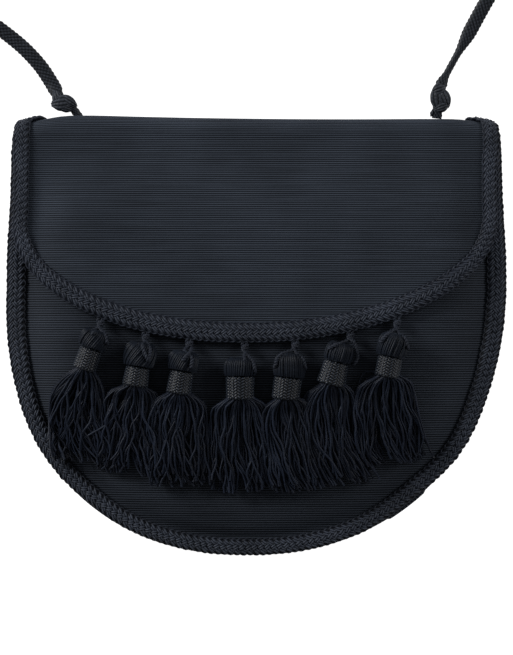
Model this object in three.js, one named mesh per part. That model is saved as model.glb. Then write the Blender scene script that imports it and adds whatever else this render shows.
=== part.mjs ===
// Crossbody evening bag lying on its back. Millimetres, +Z up.
// The back rests on z = 0, the flap and the tassels face +Z, and the folded top edge is towards +Y.
// The origin is under the middle of the bag, without its strap.
import * as THREE from 'three';

// ---------------------------------------------------------------- driving dimensions
const WALL = 1.5;            // ribbed cloth with its backing
const GAP = 0.3;             // clearance between pieces that touch on the real bag

// A D outline: sides down to the shoulder, then a superellipse to the foot.
// The foot hangs a little to the left: that is the lean.
const POUCH = { shoulder: 20, half: 112.5, depth: 118.6, power: 2.2, lean: 4.4, inset: 0 };
const FLAP = { shoulder: 55, half: 110.6, depth: 58.9, power: 2.08, lean: 4.5, inset: 0 };
const SIDES = [              // half width of pouch and flap above their shoulders
  { y: 20, half: 112.5 },
  { y: 47, half: 111.2 },
  { y: 62, half: 110.5 },
  { y: 82, half: 110.2 },
  { y: 90, half: 109.2 },
  { y: 95, half: 107.4 },
  { y: 98.5, half: 105.4 },
];

// The front panel: a ledge under the braid, then a rise to the crown; its top edge is the mouth.
const SEAM_INSET = 1.5;      // the panels' cut edge lies this far inside the braid's outer edge
const FRONT = { seam: 6.0, slope: 0.21, ledge: 9.4, crown: 16.5, reach: 46, mouthY: 91, mouthZ: 9.9, lip: 4 };
// The back panel: flat on the table, turned up towards the seam.
const BACK = { seam: 3.9, reach: 15, topY: 84 };

// The flap lies on the front panel and on the pouch's braid, and folds round the top.
const FLAP_REST = { onBraid: 12.0, onFront: 0.9, blend: 1, inset: 2 };
const FOLD = { y: 96.8, sag: 0.8, depth: 6.6, tuck: 4.1, tuckFrom: 95 };

// Plaited braid, a flat band: its width along the sides and at the foot.
const BODY_BRAID = { side: 9.2, foot: 7.6, thick: 3.0, tilt: 12, z: 9.0, topY: 88, margin: 0.9 };
const FLAP_BRAID = { side: 8.2, foot: 9.2, thick: 2.6, lift: 0.8, topY: 87, curl: 113, curlStep: 15 };

// Tassels, from left to right: where the loop meets the flap's edge, the middle of the head,
// the lean of head and collar, and where the fringe ends and how wide it is there.
const TASSELS = [
  { x: -70.3, headX: -72.1, headY: -1.4, lean: -25, endX: -80.4, endY: -53.5, spread: 25 },
  { x: -49.2, headX: -51.9, headY: -8.6, lean: -9, endX: -55.9, endY: -58.5, spread: 21 },
  { x: -29.4, headX: -32.5, headY: -11.5, lean: -9, endX: -32.4, endY: -67.0, spread: 22 },
  { x: -4.6, headX: -7.3, headY: -14.4, lean: 0, endX: -7.3, endY: -69.5, spread: 23 },
  { x: 17.0, headX: 14.9, headY: -13.5, lean: -7, endX: 16.4, endY: -68.0, spread: 22 },
  { x: 42.2, headX: 37.2, headY: -7.4, lean: -15, endX: 38.2, endY: -65.0, spread: 18.6 },
  { x: 62.9, headX: 61.1, headY: -4.3, lean: -11, endX: 62.4, endY: -54.5, spread: 26 },
];
const HEAD = { radius: 6.7, length: 10, thick: 9 };
const COLLAR = { radius: 5.9, length: 8.8, thick: 8.6 };
const LOOP = { diameter: 2.2, clear: 0.95 };
const FRINGE = { topHalf: 5.4, thickTop: 8, thickEnd: 3.6, clear: 0.6 };

// Strap: a flat tubular cord from fold to fold, knotted near both ends, its middle laid out
// on the table in loose bends.
const CORD = { width: 6, thick: 3, sides: 8, steps: 76, endSteps: 3 };
const KNOT = { length: 13, radius: 4.8, thick: 8.4, fromFold: 9.9, clear: 0.7 };
const CORD_ROUTE = [
  [-79.8, 98.5, 3.9], [-82.6, 101.4, 4.3], [-86.2, 104.8, 4.4], [-90.2, 108.6, 3.4], [-94.0, 113.4, 2.0],
  [-98.6, 120.6, 1.6], [-105.6, 129.0, 1.6], [-115.6, 137.6, 1.6], [-128.4, 147.0, 1.6], [-138.6, 161.0, 1.6],
  [-135.0, 178.6, 1.6], [-117.6, 187.2, 1.6], [-86.0, 182.6, 1.6], [-46.0, 172.0, 1.6], [-4.0, 166.6, 1.6],
  [38.0, 169.2, 1.6], [80.0, 176.6, 1.6], [105.0, 187.6, 1.6], [110.0, 207.6, 1.6], [91.6, 222.8, 1.6],
  [51.0, 221.8, 1.6], [6.0, 211.0, 1.6], [-40.0, 206.4, 1.6], [-84.0, 210.6, 1.6], [-112.8, 221.2, 1.6],
  [-121.4, 241.4, 1.6], [-104.6, 259.4, 1.6], [-67.0, 263.6, 1.6], [-22.0, 256.0, 1.6], [24.0, 250.6, 1.6],
  [70.0, 256.0, 1.6], [109.0, 263.6, 1.6], [135.4, 251.0, 1.6], [141.4, 224.0, 1.6], [132.0, 197.0, 1.6],
  [117.0, 172.0, 1.6], [104.8, 150.4, 1.6], [95.4, 133.0, 1.6], [88.6, 119.9, 2.0], [85.2, 112.4, 3.4],
  [82.8, 105.8, 4.4], [81.3, 101.6, 4.3], [80.3, 97.7, 3.9],
];

// Fineness of the surfaces: columns across each cloth, stations along each braid, sides of a
// section, and the heights of the cloths' rows above their shoulders.
const FINE = { front: 20, back: 14, flap: 20, bodyBraid: 54, flapBraid: 46, band: 8, turned: 12 };
const FRONT_ROWS = [FRONT.mouthY, 84, 74, 62, 48, 34];
const BACK_ROWS = [BACK.topY, 50];
const FLAP_ROWS = [82, 73, 64];
const FOLD_TURNS = [180, 154, 128, 102, 77, 51, 26, 0];
const FOOT_ANGLES = [180, 191, 202, 212, 222, 231, 240, 248, 256, 263];
const FRINGE_STEPS = 6;

// ---------------------------------------------------------------- finishes
const CLOTH = { color: 0x2a2c32, roughness: 0.85, metalness: 0 };
const BRAID = { color: 0x26282e, roughness: 0.7, metalness: 0 };
const SILK = { color: 0x15171b, roughness: 0.55, metalness: 0 };

// ---------------------------------------------------------------- small helpers
const UP = new THREE.Vector3(0, 0, 1);
const radians = THREE.MathUtils.degToRad;
const lerp = THREE.MathUtils.lerp;
const clamp01 = (value) => THREE.MathUtils.clamp(value, 0, 1);
const ease = (value) => clamp01(value) ** 2 * (3 - 2 * clamp01(value));
const signedPower = (value, power) => Math.sign(value) * Math.abs(value) ** power;

// The larger of two heights, with a rounded change from one to the other.
function softMax(a, b, blend) {
  const share = clamp01(0.5 + (a - b) / (2 * blend));
  return lerp(b, a, share) + blend * share * (1 - share);
}

// ---------------------------------------------------------------- outlines
function sideHalf(outline, y) {
  const above = SIDES.findIndex((row) => row.y >= y);
  if (above === 0) {
    return outline.half;
  }
  if (above < 0) {
    return SIDES.at(-1).half;
  }
  const [lower, upper] = [SIDES[above - 1], SIDES[above]];
  const half = lerp(lower.half, upper.half, (y - lower.y) / (upper.y - lower.y));
  return Math.min(outline.half, half);
}

// The point of a D outline at an angle from 180 degrees (left shoulder) to 360 (right shoulder).
function footPoint(outline, angle) {
  const drop = Math.abs(Math.sin(radians(angle))) ** (2 / outline.power);
  const across = signedPower(Math.cos(radians(angle)), 2 / outline.power);
  return new THREE.Vector3(
    (outline.half - outline.inset) * across - outline.lean * drop,
    outline.shoulder - (outline.depth - outline.inset) * drop,
    0,
  );
}

// The D outline as an open line from its left top, round the foot, to its right top.
function edgeLine(outline, topY, count) {
  const sideStations = [1, 0.8, 0.6, 0.4, 0.2].map((share) => lerp(outline.shoulder, topY, share));
  const onSide = (sign) => (y) => new THREE.Vector3(sign * (sideHalf(outline, y) - outline.inset), y, 0);
  const foot = [];
  for (let angle = 180; angle <= 360; angle += 4) {
    foot.push(footPoint(outline, angle));
  }
  const points = [
    ...sideStations.map(onSide(-1)),
    ...foot,
    ...sideStations.reverse().map(onSide(1)),
  ];
  return new THREE.CatmullRomCurve3(points, false, 'centripetal').getSpacedPoints(count - 1);
}

// Left and right edge at the stations of a D outline, from its top down to its foot.
function spansDown(outline, topStations) {
  const spans = topStations.map((y) => {
    const half = sideHalf(outline, y) - outline.inset;
    return { y, left: -half, right: half };
  });
  for (const angle of FOOT_ANGLES) {
    const left = footPoint(outline, angle);
    const right = footPoint(outline, 540 - angle);
    spans.push({ y: left.y, left: left.x, right: right.x });
  }
  return spans;
}

// How far a point lies inside the pouch's outer edge.
const pouchEdge = edgeLine(POUCH, 100, 160);

function insetOf(x, y) {
  let nearest = Infinity;
  for (let i = 1; i < pouchEdge.length; i += 1) {
    const [a, b] = [pouchEdge[i - 1], pouchEdge[i]];
    const [dx, dy] = [b.x - a.x, b.y - a.y];
    const along = clamp01(((x - a.x) * dx + (y - a.y) * dy) / (dx * dx + dy * dy));
    nearest = Math.min(nearest, Math.hypot(x - a.x - along * dx, y - a.y - along * dy));
  }
  return nearest;
}

// ---------------------------------------------------------------- surfaces
// Top of the front panel.
function frontTop(x, y) {
  const inset = insetOf(x, y);
  const ledge = FRONT.seam + FRONT.slope * Math.min(inset, FRONT.ledge);
  const crown = lerp(FRONT.mouthZ, FRONT.crown, ease((FRONT.mouthY + FRONT.lip - y) / FRONT.reach));
  const rise = 1 - (1 - clamp01((inset - FRONT.ledge) / FRONT.reach)) ** 4;
  return lerp(ledge, crown, rise);
}

// Underside of the back panel.
function backUnder(x, y) {
  return BACK.seam * (1 - clamp01(insetOf(x, y) / BACK.reach)) ** 2;
}

// Outer face of the flap where it lies on the front.
function flapTop(x, y) {
  return softMax(FLAP_REST.onBraid, frontTop(x, y) + FLAP_REST.onFront, FLAP_REST.blend) + WALL;
}

// Outer face of the flap round the fold: turn 0 faces the front, 180 the back.
function foldPoint(x, turn) {
  const sag = FOLD.sag * (1 - (x / FLAP.half) ** 2);
  const tuck = FOLD.tuck * ease((Math.abs(x) - FOLD.tuckFrom) / (FLAP.half - FOLD.tuckFrom));
  const y = FOLD.y - FOLD.depth - sag - tuck;
  const [front, back] = [flapTop(x, y), backUnder(x, y)];
  return new THREE.Vector3(
    x,
    y + FOLD.depth * Math.sin(radians(turn)),
    (front + back) / 2 + ((front - back) / 2) * Math.cos(radians(turn)),
  );
}

// How far up the bag a turn of the fold reaches at its middle.
function foldHeight(turn) {
  return FOLD.y - FOLD.depth * (1 - Math.sin(radians(turn)));
}

// What a tassel lies on: the front panel, and near the edge the top of the tilted braid.
function groundTop(x, y) {
  const onBraid = insetOf(x, y) < BODY_BRAID.side + BODY_BRAID.margin;
  return Math.max(frontTop(x, y), onBraid ? BODY_BRAID.z + BODY_BRAID.thick / 2 + BODY_BRAID.margin : 0);
}

// ---------------------------------------------------------------- solids
// Caps of a ring, as triangles of its own point numbers: a fan, and a strip for a thin band
// whose first half runs along one face and whose second half runs back along the other.
function fanCap(size) {
  return Array.from({ length: size - 2 }, (_, i) => [0, i + 1, i + 2]);
}

function stripCap(size) {
  return Array.from({ length: size / 2 - 1 }, (_, i) => [
    [i, i + 1, size - 1 - i],
    [i + 1, size - 2 - i, size - 1 - i],
  ]).flat();
}

// A closed solid over rings of points that all have one length.
function ringSolid(rings, cap = fanCap) {
  const size = rings[0].length;
  const last = (rings.length - 1) * size;
  const triangles = [];
  for (let base = 0; base < last; base += size) {
    for (let i = 0; i < size; i += 1) {
      const next = (i + 1) % size;
      triangles.push([base + i, base + next, base + size + i]);
      triangles.push([base + next, base + size + next, base + size + i]);
    }
  }
  for (const [a, b, c] of cap(size)) {
    triangles.push([c, b, a], [last + a, last + b, last + c]);
  }
  const points = rings.flat();
  const volume = triangles.reduce((sum, [a, b, c]) => (
    sum + points[a].dot(points[b].clone().cross(points[c]))
  ), 0);
  const outward = volume > 0 ? triangles : triangles.map(([a, b, c]) => [c, b, a]);
  const geometry = new THREE.BufferGeometry().setFromPoints(points);
  geometry.setIndex(outward.flat());
  geometry.computeVertexNormals();
  return geometry;
}

// A cloth wall under a grid of outer points: rows of points from left to right, the rows
// ordered so that the step from row to row crossed with the step to the right points outward.
function clothWall(rows) {
  const at = (r, c) => rows[THREE.MathUtils.clamp(r, 0, rows.length - 1)].at(
    THREE.MathUtils.clamp(c, 0, rows[0].length - 1),
  );
  const rings = rows.map((row, r) => {
    const inner = row.map((point, c) => {
      const along = at(r + 1, c).clone().sub(at(r - 1, c));
      const across = at(r, c + 1).clone().sub(at(r, c - 1));
      return point.clone().addScaledVector(along.cross(across).normalize(), -WALL);
    });
    return [...row, ...inner.reverse()];
  });
  return ringSolid(rings, stripCap);
}

// Points across a span, closer together towards both edges.
function acrossSpan({ left, right }, count) {
  return Array.from({ length: count + 1 }, (_, i) => (
    lerp(left, right, 0.5 - 0.5 * Math.cos((Math.PI * i) / count))
  ));
}

// A flat band of oval section along a line of points with their surface normals.
function bandSolid(line, normals, widths, thick) {
  const rings = line.map((point, i) => {
    const before = line[Math.max(i - 1, 0)];
    const after = line[Math.min(i + 1, line.length - 1)];
    const across = after.clone().sub(before).cross(normals[i]).normalize();
    return Array.from({ length: FINE.band }, (_, k) => {
      const angle = (2 * Math.PI * (k + 0.5)) / FINE.band;
      return point.clone()
        .addScaledVector(across, (widths[i] / 2) * Math.cos(angle))
        .addScaledVector(normals[i], (thick / 2) * Math.sin(angle));
    });
  });
  return ringSolid(rings);
}

// A turned form on the Y axis, pressed to its thickness along Z.
function pressedTurning(profile, radius, thick) {
  const points = profile.map(({ r, y }) => new THREE.Vector2(r, y));
  return new THREE.LatheGeometry(points, FINE.turned).scale(1, 1, thick / (2 * radius));
}

function namedMesh(name, geometry, finish) {
  const mesh = new THREE.Mesh(geometry, new THREE.MeshStandardMaterial(finish));
  mesh.name = name;
  return mesh;
}

// ---------------------------------------------------------------- pouch
function frontPanel() {
  const spans = spansDown({ ...POUCH, inset: SEAM_INSET }, FRONT_ROWS);
  const rows = spans.map((span) => acrossSpan(span, FINE.front).map((x) => (
    new THREE.Vector3(x, span.y, frontTop(x, span.y))
  )));
  return namedMesh('front_panel', clothWall(rows), CLOTH);
}

function backPanel() {
  const spans = spansDown({ ...POUCH, inset: SEAM_INSET }, BACK_ROWS).reverse();
  const rows = spans.map((span) => acrossSpan(span, FINE.back).map((x) => (
    new THREE.Vector3(x, span.y, backUnder(x, span.y))
  )));
  return namedMesh('back_panel', clothWall(rows), CLOTH);
}

// How wide a braid is at a point of a D outline: it narrows or widens towards the foot.
function braidWidth(band, outline, y) {
  return lerp(band.side, band.foot, ease((outline.shoulder - y) / outline.depth));
}

// Middle line of a braid whose outer edge follows a D outline.
function braidLine(outline, band, topY, count) {
  const edge = edgeLine(outline, topY, count);
  return edge.map((point, i) => {
    const tangent = edge[Math.min(i + 1, count - 1)].clone().sub(edge[Math.max(i - 1, 0)]);
    const inward = UP.clone().cross(tangent).normalize();
    const width = braidWidth(band, outline, point.y);
    return { middle: point.clone().addScaledVector(inward, width / 2), inward, width };
  });
}

function bodyBraid() {
  const stations = braidLine(POUCH, BODY_BRAID, BODY_BRAID.topY, FINE.bodyBraid);
  const tilt = radians(BODY_BRAID.tilt);
  const line = stations.map(({ middle }) => middle.clone().setZ(BODY_BRAID.z));
  const normals = stations.map(({ inward }) => (
    UP.clone().multiplyScalar(Math.cos(tilt)).addScaledVector(inward, -Math.sin(tilt))
  ));
  const widths = stations.map(({ width }) => width);
  return namedMesh('body_braid', bandSolid(line, normals, widths, BODY_BRAID.thick), BRAID);
}

// ---------------------------------------------------------------- flap
function flapCloth() {
  const outline = { ...FLAP, inset: FLAP_REST.inset };
  const rowAt = (y, point) => {
    const half = sideHalf(outline, y) - outline.inset;
    return acrossSpan({ left: -half, right: half }, FINE.flap).map(point);
  };
  const backY = BACK.topY + GAP;
  const rows = [rowAt(backY, (x) => new THREE.Vector3(x, backY, backUnder(x, backY)))];
  for (const turn of FOLD_TURNS) {
    rows.push(rowAt(foldHeight(turn), (x) => foldPoint(x, turn)));
  }
  for (const { y, left, right } of spansDown(outline, FLAP_ROWS)) {
    rows.push(acrossSpan({ left, right }, FINE.flap).map((x) => new THREE.Vector3(x, y, flapTop(x, y))));
  }
  return namedMesh('flap', clothWall(rows), CLOTH);
}

// Normal of the flap's outer face at a point on the front.
function flapNormal(x, y) {
  const step = 1;
  const slopeX = (flapTop(x + step, y) - flapTop(x - step, y)) / (2 * step);
  const slopeY = (flapTop(x, y + step) - flapTop(x, y - step)) / (2 * step);
  return new THREE.Vector3(-slopeX, -slopeY, 1).normalize();
}

// The braid's stations over the fold at one corner, from the front round to the curl's end.
function cornerStations(sign) {
  const stations = [];
  for (let turn = FLAP_BRAID.curlStep / 2; turn <= FLAP_BRAID.curl; turn += FLAP_BRAID.curlStep) {
    const x = sign * (sideHalf(FLAP, foldHeight(turn)) - FLAP_BRAID.side / 2);
    const middle = foldPoint(x, turn);
    const along = foldPoint(x, turn - 1).sub(foldPoint(x, turn + 1));
    const across = foldPoint(x + 1, turn).sub(foldPoint(x - 1, turn));
    const normal = along.cross(across).normalize();
    stations.push({ middle, normal, width: FLAP_BRAID.side });
  }
  return stations;
}

function flapBraid() {
  const onFront = braidLine(FLAP, FLAP_BRAID, FLAP_BRAID.topY, FINE.flapBraid).map(({ middle, width }) => ({
    middle: middle.clone().setZ(flapTop(middle.x, middle.y)),
    normal: flapNormal(middle.x, middle.y),
    width,
  }));
  const stations = [...cornerStations(-1).reverse(), ...onFront, ...cornerStations(1)];
  const lift = FLAP_BRAID.lift + FLAP_BRAID.thick / 2;
  const line = stations.map(({ middle, normal }) => middle.clone().addScaledVector(normal, lift));
  const normals = stations.map(({ normal }) => normal);
  const widths = stations.map(({ width }) => width);
  return namedMesh('flap_braid', bandSolid(line, normals, widths, FLAP_BRAID.thick), BRAID);
}

// ---------------------------------------------------------------- tassels
const HEAD_PROFILE = [       // from the collar end to the top, as shares of radius and length
  { r: 0, y: -0.5 }, { r: 0.78, y: -0.5 }, { r: 0.98, y: -0.22 }, { r: 0.96, y: 0.1 },
  { r: 0.7, y: 0.38 }, { r: 0.28, y: 0.5 }, { r: 0, y: 0.5 },
].map(({ r, y }) => ({ r: r * HEAD.radius, y: y * HEAD.length }));

const COLLAR_PROFILE = [
  { r: 0, y: -0.5 }, { r: 0.88, y: -0.5 }, { r: 1, y: -0.3 }, { r: 1, y: 0.3 }, { r: 0.88, y: 0.5 },
  { r: 0, y: 0.5 },
].map(({ r, y }) => ({ r: r * COLLAR.radius, y: y * COLLAR.length }));

// Places along a tassel: its axis runs from the head through the collar, along its lean.
function tasselPlan(row) {
  const axis = new THREE.Vector2(Math.sin(radians(row.lean)), -Math.cos(radians(row.lean)));
  const head = new THREE.Vector2(row.headX, row.headY);
  const along = (distance) => head.clone().addScaledVector(axis, distance);
  return {
    axis,
    head,
    headTop: along(-HEAD.length / 2),
    collar: along(HEAD.length / 2 + GAP + COLLAR.length / 2),
    fringeTop: along(HEAD.length / 2 + 2 * GAP + COLLAR.length),
    fringeEnd: new THREE.Vector2(row.endX, row.endY),
  };
}

function fringe(row, plan) {
  const reach = plan.fringeTop.distanceTo(plan.fringeEnd);
  const bend = plan.fringeTop.clone().addScaledVector(plan.axis, reach / 2);
  const middle = new THREE.QuadraticBezierCurve(plan.fringeTop, bend, plan.fringeEnd);
  const rings = Array.from({ length: FRINGE_STEPS + 1 }, (_, i) => {
    const t = i / FRINGE_STEPS;
    const point = middle.getPoint(t);
    const tangent = middle.getTangent(t);
    const half = lerp(FRINGE.topHalf, row.spread / 2, 1 - (1 - t) ** 1.6);
    const thick = lerp(FRINGE.thickTop, FRINGE.thickEnd, t);
    return Array.from({ length: FINE.turned }, (__, k) => {
      const angle = (2 * Math.PI * (k + 0.5)) / FINE.turned;
      const x = point.x - tangent.y * half * Math.cos(angle);
      const y = point.y + tangent.x * half * Math.cos(angle);
      return new THREE.Vector3(x, y, groundTop(x, y) + FRINGE.clear + (thick / 2) * (1 + Math.sin(angle)));
    });
  });
  return ringSolid(rings);
}

function tassel(row, number) {
  const plan = tasselPlan(row);
  const name = (piece) => `tassel_${number}_${piece}`;
  const height = (place, thick) => groundTop(place.x, place.y) + GAP + thick / 2;
  const headZ = height(plan.head, HEAD.thick);

  const head = namedMesh(name('head'), pressedTurning(HEAD_PROFILE, HEAD.radius, HEAD.thick), SILK);
  head.position.set(plan.head.x, plan.head.y, headZ);
  head.rotation.z = radians(row.lean);

  const collarForm = pressedTurning(COLLAR_PROFILE, COLLAR.radius, COLLAR.thick);
  const collar = namedMesh(name('collar'), collarForm, SILK);
  collar.position.set(plan.collar.x, plan.collar.y, height(plan.collar, COLLAR.thick));
  collar.rotation.z = radians(row.lean);

  const edgeY = flapEdgeY(row.x);
  const edge = new THREE.Vector3(row.x, edgeY - GAP, flapTop(row.x, edgeY) + GAP);
  const crest = new THREE.Vector3(plan.headTop.x, plan.headTop.y, headZ);
  crest.addScaledVector(edge.clone().sub(crest).normalize(), LOOP.clear);
  const normals = [UP, UP];
  const widths = [LOOP.diameter, LOOP.diameter];
  const loopForm = bandSolid([edge, crest], normals, widths, LOOP.diameter);
  const loop = namedMesh(name('loop'), loopForm, SILK);

  return [loop, head, collar, namedMesh(name('skirt'), fringe(row, plan), SILK)];
}

// Height of the flap's lower edge at x.
function flapEdgeY(x) {
  let [low, high] = [180, 360];
  while (high - low > 0.01) {
    const middle = (low + high) / 2;
    [low, high] = footPoint(FLAP, middle).x < x ? [middle, high] : [low, middle];
  }
  return footPoint(FLAP, low).y;
}

// ---------------------------------------------------------------- strap
const cordLine = new THREE.CatmullRomCurve3(
  CORD_ROUTE.map(([x, y, z]) => new THREE.Vector3(x, y, z)),
  false,
  'centripetal',
);
cordLine.arcLengthDivisions = 2000;
const cordLength = cordLine.getLength();

function cordSection() {
  const points = Array.from({ length: CORD.sides }, (_, k) => {
    const angle = (2 * Math.PI * (k + 0.5)) / CORD.sides;
    return new THREE.Vector2((CORD.thick / 2) * Math.cos(angle), (CORD.width / 2) * Math.sin(angle));
  });
  return new THREE.Shape(points);
}

// The cord between two distances along its line.
function cordPiece(name, from, to, steps) {
  const points = Array.from({ length: 4 * steps + 1 }, (_, i) => (
    cordLine.getPointAt(lerp(from, to, i / (4 * steps)) / cordLength)
  ));
  const extrudePath = new THREE.CatmullRomCurve3(points, false, 'centripetal');
  const geometry = new THREE.ExtrudeGeometry(cordSection(), { steps, extrudePath, bevelEnabled: false });
  return namedMesh(name, geometry, SILK);
}

function knot(name, distance) {
  const profile = [
    { r: 0, y: -0.5 }, { r: 0.55, y: -0.5 }, { r: 0.95, y: -0.2 }, { r: 0.95, y: 0.2 }, { r: 0.55, y: 0.5 },
    { r: 0, y: 0.5 },
  ].map(({ r, y }) => ({ r: r * KNOT.radius, y: y * KNOT.length }));
  const mesh = namedMesh(name, pressedTurning(profile, KNOT.radius, KNOT.thick), SILK);
  const tangent = cordLine.getTangentAt(distance / cordLength);
  mesh.position.copy(cordLine.getPointAt(distance / cordLength)).setZ(KNOT.thick / 2);
  mesh.rotation.z = Math.atan2(-tangent.x, tangent.y);
  return mesh;
}

function strap() {
  const reach = KNOT.length / 2 + KNOT.clear;
  const leftKnot = KNOT.fromFold;
  const rightKnot = cordLength - KNOT.fromFold;
  return [
    cordPiece('strap_end_left', 0, leftKnot - reach, CORD.endSteps),
    knot('knot_left', leftKnot),
    cordPiece('strap_cord', leftKnot + reach, rightKnot - reach, CORD.steps),
    knot('knot_right', rightKnot),
    cordPiece('strap_end_right', rightKnot + reach, cordLength, CORD.endSteps),
  ];
}

// ---------------------------------------------------------------- assembly
const bag = new THREE.Group();
bag.add(backPanel(), frontPanel(), bodyBraid(), flapCloth(), flapBraid());
TASSELS.forEach((row, i) => bag.add(...tassel(row, i + 1)));
bag.add(...strap());

export default bag;
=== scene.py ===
"""A crossbody evening bag lying on its back: ribbed cloth, plaited braid, seven tassels and a cord strap.

The shapes are worked out in millimetres, +Z up, with the origin under the middle of the bag, and are turned
to metres when a mesh is made. The back rests on z = 0 and the folded top edge is towards +Y.
"""

from __future__ import annotations

import logging
import math
from collections.abc import Callable, Sequence
from dataclasses import dataclass, field
from enum import Enum
from functools import partial
from typing import Any

import bmesh
import bpy
import numpy as np
from bpy.types import Material, Mesh, Node, NodeSocket, NodeTree, Object, World
from mathutils import Matrix, Vector


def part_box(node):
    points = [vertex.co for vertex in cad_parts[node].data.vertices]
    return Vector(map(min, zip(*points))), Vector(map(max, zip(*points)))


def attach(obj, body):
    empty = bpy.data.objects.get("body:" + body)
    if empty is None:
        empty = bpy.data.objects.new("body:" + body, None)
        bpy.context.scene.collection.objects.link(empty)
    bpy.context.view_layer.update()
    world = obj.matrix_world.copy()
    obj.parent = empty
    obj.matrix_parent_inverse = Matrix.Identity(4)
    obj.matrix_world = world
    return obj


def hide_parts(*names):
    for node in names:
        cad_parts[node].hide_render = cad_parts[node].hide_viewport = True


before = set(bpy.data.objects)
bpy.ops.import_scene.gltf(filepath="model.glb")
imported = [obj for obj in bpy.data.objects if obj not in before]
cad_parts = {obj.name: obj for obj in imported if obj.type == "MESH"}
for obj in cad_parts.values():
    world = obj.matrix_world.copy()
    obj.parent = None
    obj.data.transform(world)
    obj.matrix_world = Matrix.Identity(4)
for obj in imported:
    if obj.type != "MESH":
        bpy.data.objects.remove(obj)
log = logging.getLogger("bag")

Array = np.ndarray
Pair = tuple[float, float]

MM = 0.001  # a millimetre in metres
BODY = "root"  # the bag has no joints, so all of it rides on one body
SEED = 7  # of every random draw
MATH, VECTOR = "ShaderNodeMath", "ShaderNodeVectorMath"


class Slot(Enum):
    """The record's material slots."""

    CLOTH = "ribbed_cloth"
    BRAID = "plaited_braid"
    TASSEL = "tassel_thread"
    CORD = "braided_cord"


# ---- small helpers
def linear(colour: str) -> tuple[float, float, float, float]:
    """Turns an sRGB hex colour into linear RGBA.

    Args:
        colour: Six hex digits after a hash sign.

    Returns:
        Red, green, blue and an alpha of 1.
    """
    shares = [int(colour[i : i + 2], 16) / 255 for i in (1, 3, 5)]
    r, g, b = (s / 12.92 if s <= 0.04045 else ((s + 0.055) / 1.055) ** 2.4 for s in shares)
    return r, g, b, 1.0


def add(
    tree: NodeTree, kind: str, inputs: dict[int | str, Any] | Sequence[Any] = (), operation: str = "",
    **settings: Any,
) -> Node:
    """Adds a node with its settings, values and links.

    Args:
        tree: The material's or modifier's node tree.
        kind: The node's type.
        inputs: Values by socket name or number, or for the first sockets in order. An output is linked, a
            node stands for its first output, and each output in a list is linked to the one socket.
        operation: What a math node does.
        settings: Other properties of the node itself.

    Returns:
        The new node.
    """
    node = tree.nodes.new(kind)
    if operation:
        node.operation = operation
    for key, value in settings.items():
        setattr(node, key, value)
    for key, value in inputs.items() if isinstance(inputs, dict) else enumerate(inputs):
        for source in value if isinstance(value, list) else [value]:
            source = source.outputs[0] if isinstance(source, Node) else source
            if isinstance(source, NodeSocket):
                tree.links.new(source, node.inputs[key])
            else:
                node.inputs[key].default_value = source
    return node


def bare_tree(owner: Material | World) -> NodeTree:
    """Switches a material or a world to nodes and clears those that it starts with.

    Args:
        owner: The material or world.

    Returns:
        Its empty node tree.
    """
    owner.use_nodes = True
    owner.node_tree.nodes.clear()
    return owner.node_tree


def unit(vectors: Array) -> Array:
    """Scales each vector to length 1."""
    return vectors / np.maximum(np.linalg.norm(vectors, axis=-1, keepdims=True), 1e-12)


def ease(share: Array | float) -> Array:
    """Goes smoothly from 0 to 1 as the share does, and stays there."""
    t = np.clip(share, 0.0, 1.0)
    return t * t * (3 - 2 * t)


def lerp(a: Any, b: Any, share: Any) -> Any:
    """Goes straight from a to b."""
    return a + (b - a) * share


def power_of(values: Array, power: float) -> Array:
    """Raises values to a power and keeps their signs."""
    return np.sign(values) * np.abs(values) ** power


def distance_along(line: Array) -> Array:
    """Distance of each point of a line from its start."""
    steps = np.linalg.norm(np.diff(line, axis=0), axis=1)
    return np.concatenate([[0.0], np.cumsum(steps)])


def evenly(line: Array, step: float, *carried: Array) -> list[Array]:
    """Spaces the points of a line evenly.

    Args:
        line: Points, one a row.
        step: The distance wanted between points.
        carried: Values at the points that go with them.

    Returns:
        The evenly spaced points, then each carried value at them.
    """
    along = distance_along(line)
    at = np.linspace(0, along[-1], max(2, round(along[-1] / step) + 1))
    found = []
    for values in (line, *carried):
        columns = values.reshape(len(values), -1).T
        found.append(np.stack([np.interp(at, along, c) for c in columns], axis=1).squeeze())
    return found


def smooth_curve(points: Array, parts: int) -> Array:
    """A centripetal Catmull-Rom curve through points.

    Args:
        points: The points that it goes through.
        parts: How many pieces each span is cut into.

    Returns:
        Points along the curve.
    """

    def mixed(a: Array, b: Array, start: float, end: float) -> Array:
        """What lies between two points, or curves, at each t from a start to an end."""
        return (end - t) / (end - start) * a + (t - start) / (end - start) * b

    held = np.vstack([2 * points[0] - points[1], points, 2 * points[-1] - points[-2]])
    found = []
    for p0, p1, p2, p3 in zip(held, held[1:], held[2:], held[3:]):
        t1 = math.sqrt(np.linalg.norm(p1 - p0))
        t2 = t1 + math.sqrt(np.linalg.norm(p2 - p1))
        t3 = t2 + math.sqrt(np.linalg.norm(p3 - p2))
        t = np.linspace(t1, t2, parts, endpoint=False)[:, None]
        first, second, third = mixed(p0, p1, 0.0, t1), mixed(p1, p2, t1, t2), mixed(p2, p3, t2, t3)
        found.append(mixed(mixed(first, second, 0.0, t2), mixed(second, third, t1, t3), t1, t2))
    return np.vstack([*found, points[-1:]])


# ---- meshes
def build_mesh(
    name: str, points: Array, faces: Sequence[Sequence[int]] = (), edges: Sequence[Sequence[int]] = ()
) -> Mesh:
    """Makes a smooth-shaded mesh.

    Args:
        name: The mesh's name.
        points: Its points in millimetres.
        faces: Each face's point numbers.
        edges: Each loose edge's point numbers.

    Returns:
        The mesh, in metres.
    """
    mesh = bpy.data.meshes.new(name)
    mesh.from_pydata((points * MM).tolist(), edges, faces)
    mesh.shade_smooth()
    return mesh


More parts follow.
